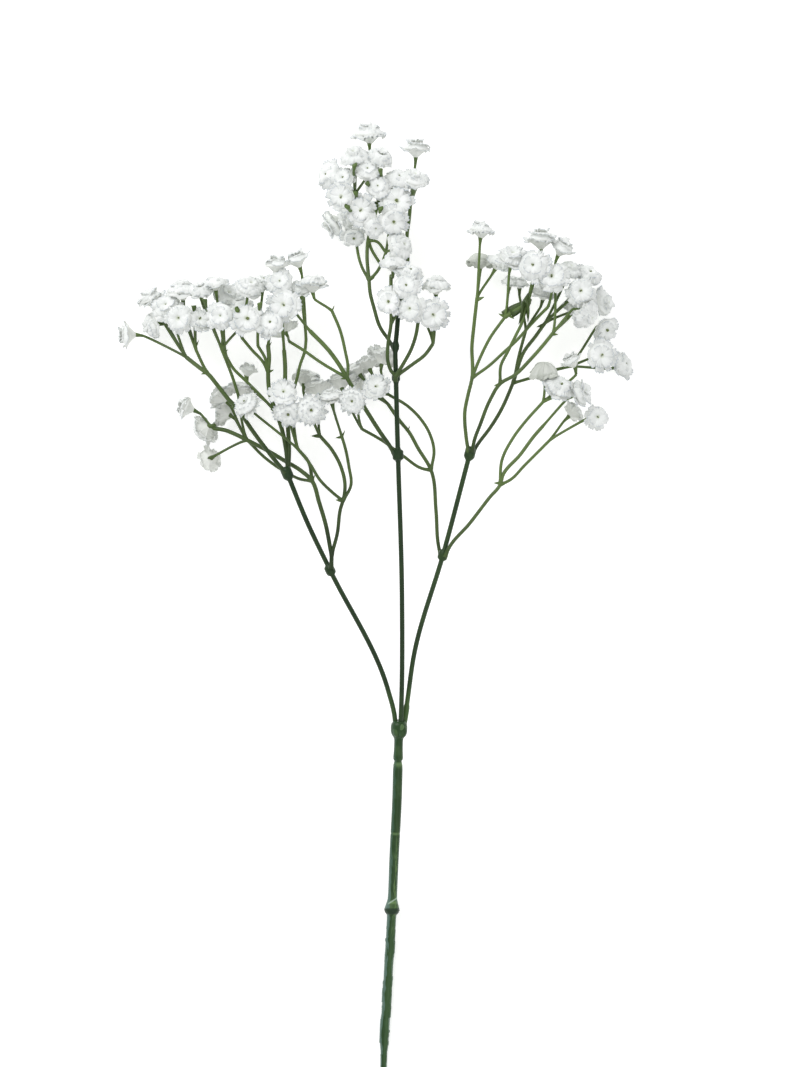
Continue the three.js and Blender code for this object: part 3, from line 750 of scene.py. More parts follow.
# %% Pedicels
PEDICEL_WIDTH = 1.6
PEDICEL_STEP, FEWEST_STEPS = 2.5, 6
PEDICEL_FADE = 1.5  # how many times over its tone would reach the twigs' olive
CALYX_WIDTH, CALYX_LENGTH = 3.4, 4.4
CALYX_OVERLAP = 0.8  # how far a calyx reaches into its bloom
LEAFY_CALYX = {(415.5, 181): (6.0, 7.5)}  # width and length of one bloom's large sepals
NOD = 0.5  # how far a calyx leans from its bloom's axis towards its twig
SPLAY = 0.7  # how far a pedicel turns towards its bloom as it leaves its twig
BEND, END_BEND = 0.26, 0.16  # straight start and end of a pedicel, as shares of its reach
END_STRAIGHT, END_NOD = 0.9, 0.3  # how straight it ends, and how much less where it runs ahead
BLOOM_DEPTH = 0.4  # underside cone of a bloom, as a share of its radius
SEAT_GAP = 0.3
ROOT_LENGTH = 4.0
LIMB_SWELL, PEDICEL_SWELL = 0.35, 0.25  # how much thicker a limb is where it grows out


def turned(place, axis, scale, turn=0.0):
    """Matrix that stands a model along an axis, at a place in millimetres."""
    spin = Vector((0, 0, 1)).rotation_difference(axis).to_matrix().to_4x4()
    return (Matrix.Translation(place * MM) @ spin @ Matrix.Rotation(turn, 4, "Z")
            @ Matrix.Diagonal((*(Vector(scale) * MM), 1)))


def swell_root(path, extra):
    """Thickens the first millimetres of a limb, where it grows out of its fork."""
    places, radii, _ = path
    for k, run in enumerate(distances(places)):
        radii[k] *= 1 + extra * ease(1 - run / ROOT_LENGTH)
    return path


def pedicel(fork, bloom):
    """Path of a pedicel, and the place and way of its calyx."""
    x, y, height, heading, lift, width = bloom
    point, arriving, tone = forks[fork]
    axis = facing(heading, lift)
    seat = plan(x, y, height) - axis * (BLOOM_DEPTH * width / 2 + SEAT_GAP)
    calyx_width, calyx_length = LEAFY_CALYX.get((x, y), (CALYX_WIDTH, CALYX_LENGTH))
    nod = (axis + (seat - point).normalized() * NOD).normalized()
    foot = seat - nod * calyx_length
    way = foot - point
    straight = way.normalized()
    leave = arriving.lerp(straight, SPLAY).normalized()
    arrive = nod.lerp(straight, END_STRAIGHT - END_NOD * max(0.0, nod.dot(straight))).normalized()
    steps = max(FEWEST_STEPS, round(way.length / PEDICEL_STEP))
    places = cubic(point, point + leave * way.length * BEND, foot - arrive * way.length * END_BEND,
                   foot, steps)
    places.append(foot)
    radii = [PEDICEL_WIDTH / 2] * len(places)
    tones = [min(1.0, tone + (1 - tone) * PEDICEL_FADE * k / steps) for k in range(len(places))]
    size = (calyx_width / 2, calyx_width / 2, calyx_length + CALYX_OVERLAP)
    turn = x + y  # no two calyces show the same sepal
    return swell_root((places, radii, tones), PEDICEL_SWELL), turned(foot, nod, size, turn)


print("width of a pedicel:", PEDICEL_WIDTH, "mm, of a calyx:", CALYX_WIDTH, "mm")

# %% [markdown]
# ## Sprays
# A spray is moulded in one: its limbs leave a knob, fork, and send a pedicel to each bloom. It is
# made fork by fork from the plan, so a limb always ends where the next one starts, and its
# tubes, calyces and bracts are joined at the end.

# %% Sprays
FADE = 75.0  # millimetres from a knob over which the dark green turns olive
# Tone of each spray at its knob and at its blooms: 0 is the dark green, 1 the light olive.
TONES = {"spray_left_low": (0.05, 0.55), "spray_left_outer": (0.1, 0.66),
         "spray_left_inner": (0.12, 0.95), "spray_centre_low": (0.2, 0.9),
         "spray_centre": (0.3, 0.8), "spray_top_left": (0.18, 0.97), "spray_top": (0.5, 0.8),
         "spray_right_low_inner": (0.35, 0.6), "spray_right_low_outer": (0.35, 0.95),
         "spray_right_inner": (0.55, 1.0), "spray_right_middle": (0.15, 0.95),
         "spray_right_outer": (0.15, 0.6)}
BRACT_SCALE, BRACT_BREADTH = 1.3, 1.3
STOOD_UP = Matrix.Rotation(-math.pi / 2, 4, "Y")  # a bract is modelled along X


def copy_to(master, matrix, tone=None):
    """A copy of a master, with its own mesh, put in its place."""
    piece = master.copy()
    piece.data = master.data.copy()
    piece.data.transform(matrix)
    scene.collection.objects.link(piece)
    if tone is not None:
        mark(piece, TONE, [tone] * len(piece.data.vertices))
    return piece


for name, rows in SPRAYS.items():
    dark, light = TONES[name]
    paths = [swell_root(limb_path(row, STEP, forks[row[0]][2] if row[0] else 0.0, FADE), LIMB_SWELL)
             for row in rows]
    carried = [point[3] for row in rows for point in row[2:] if len(point) > 3]
    seats = [(fork, bloom) for fork in carried for bloom in BLOOMS.get(fork, [])]
    roots_end = len(paths) + len(seats)  # bracts grow from limbs and blooms' pedicels
    seats += [(fork, (*bud, 0)) for fork in carried for bud in BUDS.get(fork, [])]
    trims = []
    for fork, bloom in seats:
        path, place = pedicel(fork, bloom)
        paths.append(path)
        trims.append(copy_to(calyx, place, light))
    roots = [place for path in paths[:roots_end] for place in path[0]]
    for x, y, heading, lift, length, *leaf in BRACTS.get(name, []):
        breadth, tone = leaf or (BRACT_BREADTH, light)
        root = min(roots, key=lambda place: (place - plan(x, y, place.z)).length)
        matrix = turned(root, facing(heading, lift), Vector((1, breadth, 1)) * length * BRACT_SCALE)
        trims.append(copy_to(bract, matrix @ STOOD_UP, tone))
    for _, _, tones in paths:
        tones[:] = [dark + (light - dark) * tone for tone in tones]
    pieces[name] = join(name + "_moulded", [tubes(name, paths, SPRAY_ROUNDNESS), *trims])
    print(name, "limbs", len(paths), "faces", len(pieces[name].data.polygons))
bpy.data.objects.remove(bract)
bpy.data.objects.remove(calyx)

# %% [markdown]
# ## Lobes
# An artificial bloom is not made petal by petal. Two to five round sheets, each cut into lobes
# with a scalloped edge, are pushed on one peg. A drawn lobe would be the same all round, so its
# edge is a row of numbers, and chance makes each lobe wider or narrower than the next.

# %% Lobes
# How far out the points along a lobe's edge lie: three scallops between two notches.
LOBE_EDGE = (0.0, 0.78, 1.0, 0.74, 1.06, 0.74, 1.0, 0.78)
LOBE_COLUMNS = len(LOBE_EDGE)
NARROWEST_LOBE, WIDEST_LOBE = 0.68, 1.32


def lobe_edges(count, chance):
    """Angles at which the lobes of a sheet begin, none quite as wide as the next."""
    widths = [chance.uniform(NARROWEST_LOBE, WIDEST_LOBE) for _ in range(count)]
    start = chance.uniform(0, math.tau)
    return [start + math.tau * sum(widths[:k]) / sum(widths) for k in range(count + 1)]


print("five lobes may begin at", [round(math.degrees(a)) for a in lobe_edges(5, random.Random(1))])

# %% [markdown]
# ## Kinds of sheet
# The outer sheet of a bloom is a broad skirt or a cup, the next ones are domes or steeper cups,
# and the last one is a small crest or a flat plate round the eye. Each is drawn as half of its
# section, by rings, and a few are enough, because chance gives every sheet its own lobes.

# %% Kinds of sheet
# Distance and height of the rings, number of lobes, depth of the notches and waves round it.
SHEETS = {
    "skirt": dict(rings=[(0.1, -0.4), (0.34, -0.2), (0.56, -0.03), (0.76, 0.07), (0.93, 0.1),
                         (1.08, 0.05)], lobes=9, notch=0.22, waves=4),
    "bell": dict(rings=[(0.1, -0.36), (0.36, -0.12), (0.58, 0.05), (0.78, 0.11), (0.94, 0.07),
                        (1.06, -0.06)], lobes=8, notch=0.22, waves=5),
    "middle": dict(rings=[(0.1, 0.12), (0.3, 0.33), (0.48, 0.41), (0.64, 0.39), (0.79, 0.28),
                          (0.92, 0.13)], lobes=7, notch=0.24, waves=4),
    "inner": dict(rings=[(0.06, 0.32), (0.16, 0.48), (0.28, 0.57), (0.41, 0.58), (0.54, 0.52),
                         (0.67, 0.39)], lobes=6, notch=0.26, waves=3),
    "crest": dict(rings=[(0.05, 0.52), (0.12, 0.61), (0.2, 0.68), (0.29, 0.72), (0.38, 0.7),
                         (0.47, 0.6)], lobes=4, notch=0.3, waves=2),
    "plate": dict(rings=[(0.06, 0.24), (0.2, 0.3), (0.34, 0.35), (0.49, 0.38), (0.63, 0.38),
                         (0.77, 0.33)], lobes=6, notch=0.3, waves=4),
    "rosette": dict(rings=[(0.06, 0.4), (0.16, 0.46), (0.28, 0.51), (0.4, 0.54), (0.51, 0.54),
                           (0.62, 0.5)], lobes=5, notch=0.3, waves=3),
    "cup": dict(rings=[(0.1, -0.4), (0.34, -0.14), (0.56, 0.06), (0.74, 0.2), (0.9, 0.28),
                       (1.02, 0.28)], lobes=8, notch=0.2, waves=3),
    "nest": dict(rings=[(0.1, 0.0), (0.3, 0.27), (0.46, 0.42), (0.6, 0.5), (0.74, 0.52),
                        (0.86, 0.46)], lobes=7, notch=0.26, waves=4),
    "heart": dict(rings=[(0.06, 0.45), (0.16, 0.57), (0.26, 0.66), (0.36, 0.7), (0.47, 0.69),
                         (0.58, 0.61)], lobes=5, notch=0.3, waves=3),
    "umbrella": dict(rings=[(0.05, 0.66), (0.24, 0.64), (0.46, 0.55), (0.68, 0.38), (0.87, 0.14),
                            (1.0, -0.1)], lobes=10, notch=0.24, waves=8),
}
print("points round each kind:", {name: s["lobes"] * LOBE_COLUMNS for name, s in SHEETS.items()})

# %% [markdown]
# ## Petal sheets
# A sheet starts as a circle that is extruded outwards ring by ring to its profile. Lobes, waves
# and pressed ribs are functions of the angle, so they are written in one pass over the points,
# where proportional editing would need a hundred strokes. A Solidify modifier then gives the
# sheet its thickness.

# %% Sheet
# How much shorter, longer and higher than the others a lobe may be, in parts of the ruffle.
SHORTER, LONGER, HIGHER = 2.2, 1.2, 1.2
NOTCH_POWER = 2.4  # how late on the way out a notch opens
WAVE_HEIGHT, FINE_WAVE = 0.5, 0.4
EDGE_LEVEL = 0.7  # point of a lobe's edge that is neither raised nor lowered
RIB_HEIGHT = 0.024
SHEET_THICKNESS = 0.022
SEAM = 0.1  # share of a round on both sides of the place where the map's two ends meet
ROOT_TO_TIP = "root_to_tip"  # 0 at the root, 1 at the rim, below 0 on the green eye


def map_petals(piece, lobes, turns, shares):
    """Gives a sheet a map that runs round it in petals, and outwards from 0 to 1."""
    petal_map = piece.data.uv_layers.active or piece.data.uv_layers.new(name="UVMap")
    for face in piece.data.polygons:
        seam = max(turns[v] for v in face.vertices) > 1 - SEAM
        for loop, v in zip(face.loop_indices, face.vertices):
            turn = turns[v] + (1 if seam and turns[v] < SEAM else 0)
            petal_map.data[loop].uv = (turn * lobes, shares[v])


def thicken(piece):
    """Gives a sheet its thickness, and smooths all but its rim."""
    only(piece)
    bpy.ops.object.modifier_add(type="SOLIDIFY")
    piece.modifiers[-1].thickness = SHEET_THICKNESS
    bpy.ops.object.modifier_apply(modifier=piece.modifiers[-1].name)
    smooth(65)
    return piece


def model_sheet(rings, lobes, notch, waves, ruffle, chance):
    """A round sheet of lobes. A ring is a distance from the peg and a height."""
    columns = lobes * LOBE_COLUMNS
    piece = draw_rings(rings, vertices=columns)
    edges = lobe_edges(lobes, chance)
    lengths = [chance.uniform(1 - SHORTER * ruffle, 1 + LONGER * ruffle) for _ in range(lobes)]
    lifts = [chance.uniform(-ruffle, HIGHER * ruffle) for _ in range(lobes)]
    ribs = [chance.uniform(-RIB_HEIGHT, RIB_HEIGHT) for _ in range(columns)]
    phase = chance.uniform(0, math.tau)
    shares, turns = [], []
    for vertex in piece.data.vertices:
        distance = vertex.co.xy.length
        ring = min(range(len(rings)), key=lambda k: abs(rings[k][0] - distance))
        column = column_of(vertex.co, columns)
        lobe, step = divmod(column, LOBE_COLUMNS)
        bump = LOBE_EDGE[step]
        share = ring / (len(rings) - 1)
        angle = edges[lobe] + (edges[lobe + 1] - edges[lobe]) * step / LOBE_COLUMNS
        length = 1 + (lengths[lobe] - 1) * bump * share**2
        distance *= length - notch * (1 - bump) * share**NOTCH_POWER
        wave = (math.sin(waves * angle + phase)
                + FINE_WAVE * math.sin((2 * waves + 1) * angle + 2 * phase))
        vertex.co.x, vertex.co.y = distance * math.cos(angle), distance * math.sin(angle)
        vertex.co.z += ((WAVE_HEIGHT * ruffle * wave + ribs[column]) * share
                        + ruffle * (bump - EDGE_LEVEL) * share
                        + lifts[lobe] * min(bump, 1) * share**2)
        shares.append(share)
        turns.append(column / columns)
    map_petals(piece, lobes, turns, shares)
    mark(piece, ROOT_TO_TIP, shares)
    return thicken(piece)


print("points in the finest sheet:",
      max(len(sheet["rings"]) * sheet["lobes"] * LOBE_COLUMNS for sheet in SHEETS.values()))

# %% [markdown]
# ## Cushion and eye
# Between the sheets one would see straight through a bloom. A white cushion, drawn up ring by
# ring like the calyx, closes it from its foot to the pit of the eye, and the green end of the
# peg, a cone whose sides are pulled in and out to a small star, stands in that pit.

# %% Cushion and eye
UNDERSIDE = "underside"  # 1 where a point faces away from the bloom's face
CUSHION_SIDES = 16
# Distance and height of the rings round a cushion, foot to eye.
LOW_CUSHION = [(0.1, -0.38), (0.33, -0.14), (0.55, 0.04), (0.76, 0.1), (0.8, 0.14), (0.74, 0.24),
               (0.56, 0.3), (0.36, 0.29), (0.2, 0.22), (0.11, 0.1)]
HIGH_CUSHION = [(0.1, -0.38), (0.33, -0.14), (0.55, 0.04), (0.78, 0.1), (0.82, 0.15),
                (0.75, 0.28), (0.6, 0.4), (0.52, 0.5), (0.38, 0.56), (0.25, 0.54), (0.12, 0.45),
                (0.07, 0.32)]
PETAL_MIDDLE, EYE_MARK = 0.4, -1.0  # what a cushion and an eye have for root to tip
EYE_POINTS, EYE_DEPTH, EYE_OUT, EYE_IN = 10, 0.3, 1.5, 0.7
UNDER_LEVEL, UNDER_SLOPE = 0.5, 2.5  # how fast a point that turns away becomes underside


def model_cushion(profile):
    """The solid under a bloom's petals, from its foot to the eye's pit."""
    piece = draw_rings(profile, vertices=CUSHION_SIDES, fill_type="NGON")
    smooth(70)
    mark(piece, ROOT_TO_TIP, [PETAL_MIDDLE] * len(piece.data.vertices))
    return piece


def model_eye(radius, top):
    """The green end of the peg in the middle of a bloom."""
    bpy.ops.mesh.primitive_cone_add(vertices=EYE_POINTS, radius1=radius, radius2=radius,
                                    depth=EYE_DEPTH, location=(0, 0, top - EYE_DEPTH / 2))
    piece = bpy.context.object
    bpy.ops.object.transform_apply(location=True)
    for vertex in piece.data.vertices:
        vertex.co.xy *= EYE_OUT if column_of(vertex.co, EYE_POINTS) % 2 else EYE_IN
    smooth(60)
    mark(piece, ROOT_TO_TIP, [EYE_MARK] * len(piece.data.vertices))
    return piece


def finish_bloom(name, parts, cushion, eye, painted_shade=0.0):
    """Joins a bloom's parts and marks which way each point faces, plus an amount of painted shade."""
    bloom = join(name, [*parts, model_cushion(cushion), model_eye(*eye)])
    mark(bloom, UNDERSIDE, [painted_shade + ease(UNDER_LEVEL - UNDER_SLOPE * v.normal.z)
                             for v in bloom.data.vertices])
    return bloom


print("rings round a low and a high cushion:", len(LOW_CUSHION), len(HIGH_CUSHION))


# %% [markdown]
# ## Blooms of sheets
# Full blooms are for those seen from the side, open ones for those that face up, and under ones
# for those that face down, whose lobes stand apart. Fans are half open, and closed blooms have
# their top sheet turned down over the others. Pressed sheets never sit true, so all but the
# lowest slip aside and lean a little. Fourteen patterns are enough, as each bloom is also turned
# about its own axis.

# %% Blooms of sheets
# Sheets, seed, and radius and top of the peg's green end.
FULL = {"full_a": (("bell", "middle", "inner", "crest"), 23, (0.05, 0.45)),
        "full_b": (("skirt", "middle", "inner"), 37, (0.05, 0.5)),
        "full_c": (("skirt", "middle", "nest", "heart"), 61, (0.05, 0.45)),
        "full_d": (("bell", "skirt", "middle", "inner", "crest"), 73, (0.05, 0.45))}
OPEN = {"open_a": (("skirt", "plate"), 11, (0.08, 0.36)),
        "open_b": (("bell", "middle", "plate"), 41, (0.045, 0.34)),
        "open_c": (("skirt", "middle", "rosette"), 83, (0.06, 0.46)),
        "open_d": (("skirt", "bell", "plate"), 59, (0.055, 0.33)),
        "open_e": (("bell", "middle", "rosette"), 97, (0.035, 0.44))}
UNDER = {"under_a": (("skirt", "bell", "middle"), 17, (0.05, 0.45)),
         "under_b": (("bell", "cup", "middle"), 29, (0.05, 0.45)),
         "under_c": (("skirt", "cup", "inner"), 53, (0.05, 0.45))}
FAN = {"fan": (("cup", "nest", "heart"), 47, (0.05, 0.45))}
CLOSED = {"closed": (("bell", "umbrella"), 103, (0.05, 0.6))}
FLAT_RUFFLE, DEEP_RUFFLE, LOOSE_RUFFLE = 0.125, 0.11, 0.14
SLIP, LEAN = 0.07, math.radians(6)  # how far an upper sheet sits aside and leans
# Painted shade: closed blooms are painted greyer all over.
CLOSED_PAINTED_SHADE = 1.6  # how much greyer a closed bloom is, as it shows its underside


def model_ruffled(name, sheets, seed, eye):
    """A bloom of sheets, of radius 1 round the Z axis, its face up."""
    chance = random.Random(seed)
    cushion = LOW_CUSHION if "plate" in sheets else HIGH_CUSHION
    ruffle = DEEP_RUFFLE if name in FULL else LOOSE_RUFFLE if name in UNDER else FLAT_RUFFLE
    parts = [model_sheet(**SHEETS[sheet], ruffle=ruffle, chance=chance) for sheet in sheets]
    for part in parts[1:]:
        aside = Vector((chance.uniform(-SLIP, SLIP), chance.uniform(-SLIP, SLIP), 0))
        lean = Euler((chance.uniform(-LEAN, LEAN), chance.uniform(-LEAN, LEAN), 0))
        part.data.transform(Matrix.Translation(aside) @ lean.to_matrix().to_4x4())
    return finish_bloom(name, parts, cushion, eye, CLOSED_PAINTED_SHADE if name in CLOSED else 0.0)


patterns = {name: model_ruffled(name, *values)
            for name, values in {**FULL, **OPEN, **UNDER, **FAN, **CLOSED}.items()}
print("faces:", {name: len(piece.data.polygons) for name, piece in patterns.items()})

# %% [markdown]
# ## One strap petal
# A few blooms have narrow straps instead of sheets. A strap starts as a flat grid: each row is
# scaled to its width, the tip is cut by moving its columns, and each row is hinged on the one
# before to curl it. Hinging by hand is slower than bending, and it stays exact.

# %% Strap
STRAP_COLUMNS = 4
STRAP_WIDTHS = (0.14, 0.26, 0.36, 0.4, 0.36, 0.16)  # root to tip
STRAP_ROWS = len(STRAP_WIDTHS) - 1
# How far ahead and how far up the tip's columns stand, side to side.
STRAP_TIP = ((-0.1, 0.0), (0.0, 0.02), (0.04, -0.03), (0.0, 0.02), (-0.1, 0.0))
STRAP_CURL = (0, 9, 10, 11, 10)  # degrees from each row to the next
STRAP_CUP = 0.06


def model_strap():
    """A petal of length 1 along Y with its root at the origin."""
    bpy.ops.mesh.primitive_grid_add(x_subdivisions=STRAP_COLUMNS, y_subdivisions=STRAP_ROWS, size=1)
    piece = bpy.context.object
    across = STRAP_COLUMNS + 1
    mark(piece, ROOT_TO_TIP, [v.index // across / STRAP_ROWS for v in piece.data.vertices])
    edit_all()
    bpy.ops.transform.translate(value=(0, 0.5, 0))

    def pick(test):
        return choose(piece, lambda v: test(*divmod(v.index, across)))

    for row, width in enumerate(STRAP_WIDTHS):
        middle = pick(lambda r, c: r == row)
        bpy.ops.transform.resize(value=(width, 1, 1), center_override=middle)
    for column, (ahead, up) in enumerate(STRAP_TIP):
        side = abs(2 * column / STRAP_COLUMNS - 1)
        pick(lambda r, c: r == STRAP_ROWS and c == column)
        bpy.ops.transform.translate(value=(0, ahead, up))
        pick(lambda r, c: r > 1 and c == column)
        bpy.ops.transform.translate(value=(0, 0, STRAP_CUP * side * side))
    for row, angle in enumerate(STRAP_CURL):
        hinge = pick(lambda r, c: r == row)
        pick(lambda r, c: r > row)
        bpy.ops.transform.rotate(value=math.radians(angle), orient_axis="X", center_override=hinge)
    bpy.ops.object.mode_set(mode="OBJECT")
    return thicken(piece)


print("a strap bends by", sum(STRAP_CURL), "degrees in all")

# %% [markdown]
# ## Blooms of straps
# The straps stand in four tiers, each tier steeper and shorter than the one under it. One strap
# is copied for all, and chance turns, tilts and sizes each copy, as no two petals lie alike.

# %% Blooms of straps
# Straps, length, lift of the root in degrees, and the root's distance and height.
STRAP_TIERS = [(15, 0.9, 32, 0.25, -0.26), (14, 0.74, 44, 0.3, -0.05), (12, 0.62, 58, 0.24, 0.16),
               (9, 0.48, 74, 0.15, 0.36)]
TURN_CHANCE = 0.14  # of the way to the next strap
LIFT_CHANCE, ROLL_CHANCE = 7, 12  # degrees
SHORT_STRAP, LONG_STRAP = 0.82, 1.1
NARROW_STRAP, WIDE_STRAP = 0.9, 1.1
STRAPPED_EYE = (0.075, 0.5)


def model_strapped(name, seed):
    """A bloom of straps, of radius 1 round the Z axis, its face up."""
    chance = random.Random(seed)
    strap = model_strap()
    parts = []
    for number, (count, length, lift, reach, height) in enumerate(STRAP_TIERS):
        for k in range(count):
            place = k + 0.5 * (number % 2) + chance.uniform(-TURN_CHANCE, TURN_CHANCE)
            size = length * chance.uniform(SHORT_STRAP, LONG_STRAP)
            raised = math.radians(lift + chance.uniform(-LIFT_CHANCE, LIFT_CHANCE))
            rolled = math.radians(chance.uniform(-ROLL_CHANCE, ROLL_CHANCE))
            width = size * chance.uniform(NARROW_STRAP, WIDE_STRAP)
            matrix = (Matrix.Rotation(place * math.tau / count, 4, "Z")
                      @ Matrix.Translation((0, reach, height))
                      @ Matrix.Rotation(raised, 4, "X") @ Matrix.Rotation(rolled, 4, "Y")
                      @ Matrix.Diagonal((width, size, size, 1)))
            parts.append(copy_to(strap, matrix))
    bpy.data.objects.remove(strap)
    return finish_bloom(name, parts, HIGH_CUSHION, STRAPPED_EYE)


patterns["strapped"] = model_strapped("strapped", 5)
print("straps:", sum(tier[0] for tier in STRAP_TIERS),
      "faces:", len(patterns["strapped"].data.polygons))

# %% [markdown]
# ## Blooms in their places
# Blooms that touch are held as one solid in the frame. The solid that a bloom belongs to is the
# one with a corner nearest to the bloom's eye, so no list of names has to be kept by hand.

# %% Blooms
STRAPPED_BLOOMS = {(248, 406), (289, 412), (310.5, 410), (331.5, 399), (353, 401)}
FAN_BLOOMS = {(277, 268), (298, 262), (188, 408), (129, 334), (247, 372), (573, 363), (561, 250)}
CLOSED_BLOOMS = {(544, 374), (480, 263)}
OPEN_LIFT, UNDER_LIFT = 45, -5  # degrees above which a bloom is open, and below which it hangs
FLAT, DOME = 0.88, 1.1  # height of a bloom that faces up, and of one that faces sideways
FLAT_LIFT, DOME_LIFT = 60, 30  # degrees
SPREAD = 1.09  # how much wider a bloom's sheets are than its solid
TURN = 2.4  # radians from one bloom's petals to the next one's
EYE_HEIGHT = 0.4


def pattern_of(number, place, lift):
    """Name of the pattern for a bloom at a plan place."""
    for name, places in (("strapped", STRAPPED_BLOOMS), ("closed", CLOSED_BLOOMS),
                         ("fan", FAN_BLOOMS)):
        if place in places:
            return name
    choice = list(OPEN if lift > OPEN_LIFT else UNDER if lift < UNDER_LIFT else FULL)
    return choice[number % len(choice)]


corners = [(name, v.co) for name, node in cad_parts.items() if name.startswith("blooms")
           for v in node.data.vertices]
nearest = search_tree([place for _, place in corners])
bunches = {}
for i, bloom in enumerate(bloom for rows in BLOOMS.values() for bloom in rows):
    x, y, height, heading, lift, width = bloom
    axis, place, radius = facing(heading, lift), plan(x, y, height), width / 2 * SPREAD
    solid = corners[nearest.find((place + axis * radius * EYE_HEIGHT) * MM)[1]][0]
    rise = FLAT + (DOME - FLAT) * ease((FLAT_LIFT - abs(lift)) / (FLAT_LIFT - DOME_LIFT))
    matrix = turned(place, axis, (radius, radius, radius * rise), i * TURN)
    bunches.setdefault(solid, []).append(copy_to(patterns[pattern_of(i, (x, y), lift)], matrix))
for piece in patterns.values():
    bpy.data.objects.remove(piece)
for solid, members in sorted(bunches.items()):
    pieces[solid] = join(solid + "_ruffled", members)
    rest_on_table(pieces[solid])
print("bunches of blooms:", len(bunches), "largest has", max(len(m) for m in bunches.values()))

# %% [markdown]
# ## Nodes in few words
# A material is a tree of nodes, which a maker links by hand in the shader editor. These helpers
# add a node and its inputs in one line, so that a finish reads from top to bottom as its layers.

# %% Node helpers
def feed(tree, node, inputs):
    """Sets a node's inputs. An input is a value or another node's output."""
    for key, value in inputs.items():
        if isinstance(value, bpy.types.NodeSocket):
            tree.links.new(value, node.inputs[key])
        else:
            node.inputs[key].default_value = value


def add(tree, kind, inputs=None, **settings):
    """A node with its settings and inputs."""
    node = tree.nodes.new(kind)
    for key, value in settings.items():
        setattr(node, key, value)
    feed(tree, node, inputs or {})
    return node


def work_out(tree, operation, *values, **settings):
    """Result of a sum on one or two values."""
    return add(tree, "ShaderNodeMath", dict(enumerate(values)), operation=operation,
               **settings).outputs[0]


def curve(tree, value, low, high, to_low=0.0, to_high=1.0):
    """A value taken from one range to another, with eased ends."""
    return add(tree, "ShaderNodeMapRange", {"Value": value, "From Min": low, "From Max": high,
                                            "To Min": to_low, "To Max": to_high},
               interpolation_type="SMOOTHSTEP").outputs["Result"]


def blend(tree, factor, first, second):
    """Mix of two colours."""
    return add(tree, "ShaderNodeMix", {0: factor, 6: first, 7: second},
               data_type="RGBA").outputs[2]


def noise(tree, vector, scale, detail=2.0):
    """Cloudy value from 0 to 1."""
    return add(tree, "ShaderNodeTexNoise", {"Vector": vector, "Scale": scale,
                                            "Detail": detail}).outputs["Fac"]


def attribute(tree, name):
    """A value that was marked on each point."""
    return add(tree, "ShaderNodeAttribute", attribute_name=name).outputs["Fac"]


def split(tree, vector):
    """The X, Y and Z of a vector."""
    return add(tree, "ShaderNodeSeparateXYZ", {"Vector": vector}).outputs


print("materials before the finishes:", len(bpy.data.materials))

# %% [markdown]
# ## Groups, materials and colours
# An effect that several materials share is a group, which has its own sockets. Colours are given
# as a display shows them and turned into amounts of light, which is what shaders work with.

# %% Groups, materials and colours
COLOUR, VALUE = "NodeSocketColor", "NodeSocketFloat"


def new_group(name, inputs, outputs):
    """A shader node group with named sockets, and what it is given."""
    group = bpy.data.node_groups.new(name, "ShaderNodeTree")
    for socket, kind, value in inputs:
        made = group.interface.new_socket(socket, in_out="INPUT", socket_type=kind)
        made.default_value = value
    for socket, kind in outputs:
        group.interface.new_socket(socket, in_out="OUTPUT", socket_type=kind)
    return group, add(group, "NodeGroupInput").outputs


def new_material(name):
    """A material, its tree and its shader."""
    material = bpy.data.materials.new(name)
    material.use_nodes = True
    return material, material.node_tree, material.node_tree.nodes["Principled BSDF"]


def srgb(red, green, blue):
    """Linear colour of a display colour given from 0 to 255."""
    def linear(value):
        value /= 255
        return value / 12.92 if value <= 0.04045 else ((value + 0.055) / 1.055) ** 2.4
    return (linear(red), linear(green), linear(blue), 1.0)


print("middle grey is", round(srgb(128, 128, 128)[0], 3), "of the light")

# %% [markdown]
# ## Moulded green plastic
# The stalk and sprays are injection moulded: satin, faintly mottled, with a parting line along
# both sides and light scuffs. The parting line is also painted lighter, a painted highlight along
# the edges of each limb. Colour, roughness and bump that all three greens share come from one
# node group, and each material gives it its own colours.

# %% Moulded plastic
# The parting line lies where a limb's surface faces sideways, and it is painted lighter there as a
# painted highlight.
SEAM_AND_HIGHLIGHT_EDGES = (0.16, 0.05)  # how far up the surface looks at the edges of the parting line
MOTTLE = 0.14  # how much lighter or darker its patches are
SATIN = (0.3, 0.46)  # least and most roughness
DULL = 0.3  # specular level of all the plastics


def moulded_group():
    """Colour, with a painted highlight on the parting line, roughness and bump height of moulded
    plastic.
    """
    group, given = new_group("moulded_plastic",
                             [("Dark", COLOUR, (0.02, 0.04, 0.015, 1)),
                              ("Light", COLOUR, (0.1, 0.16, 0.05, 1)), ("Tone", VALUE, 0.0),
                              ("Seam Colour", COLOUR, (0.15, 0.22, 0.12, 1)),
                              ("Seam", VALUE, 0.5)],
                             [("Color", COLOUR), ("Roughness", VALUE), ("Height", VALUE)])
    place = add(group, "ShaderNodeTexCoord").outputs
    mottle = add(group, "ShaderNodeTexNoise", {"Vector": place["Object"], "Scale": 90.0,
                                               "Detail": 3.0, "Roughness": 0.6}).outputs["Fac"]
    upright = work_out(group, "ABSOLUTE", split(group, place["Normal"])["Z"])
    line = curve(group, upright, *SEAM_AND_HIGHLIGHT_EDGES)
    # Parting line painted lighter: partly the real line, partly a painted highlight along the limb's
    # edges.
    seam_and_highlight = work_out(group, "MULTIPLY", line, given["Seam"])
    shift = curve(group, mottle, 0.3, 0.7, -MOTTLE, MOTTLE)
    tone = work_out(group, "ADD", given["Tone"], shift, use_clamp=True)
    base = blend(group, tone, given["Dark"], given["Light"])
    add(group, "NodeGroupOutput",
        {"Color": blend(group, seam_and_highlight, base, given["Seam Colour"]),
         "Roughness": curve(group, mottle, 0.25, 0.75, *SATIN),
         "Height": work_out(group, "ADD", line, noise(group, place["Object"], 1400.0))})
    return group


moulded = moulded_group()


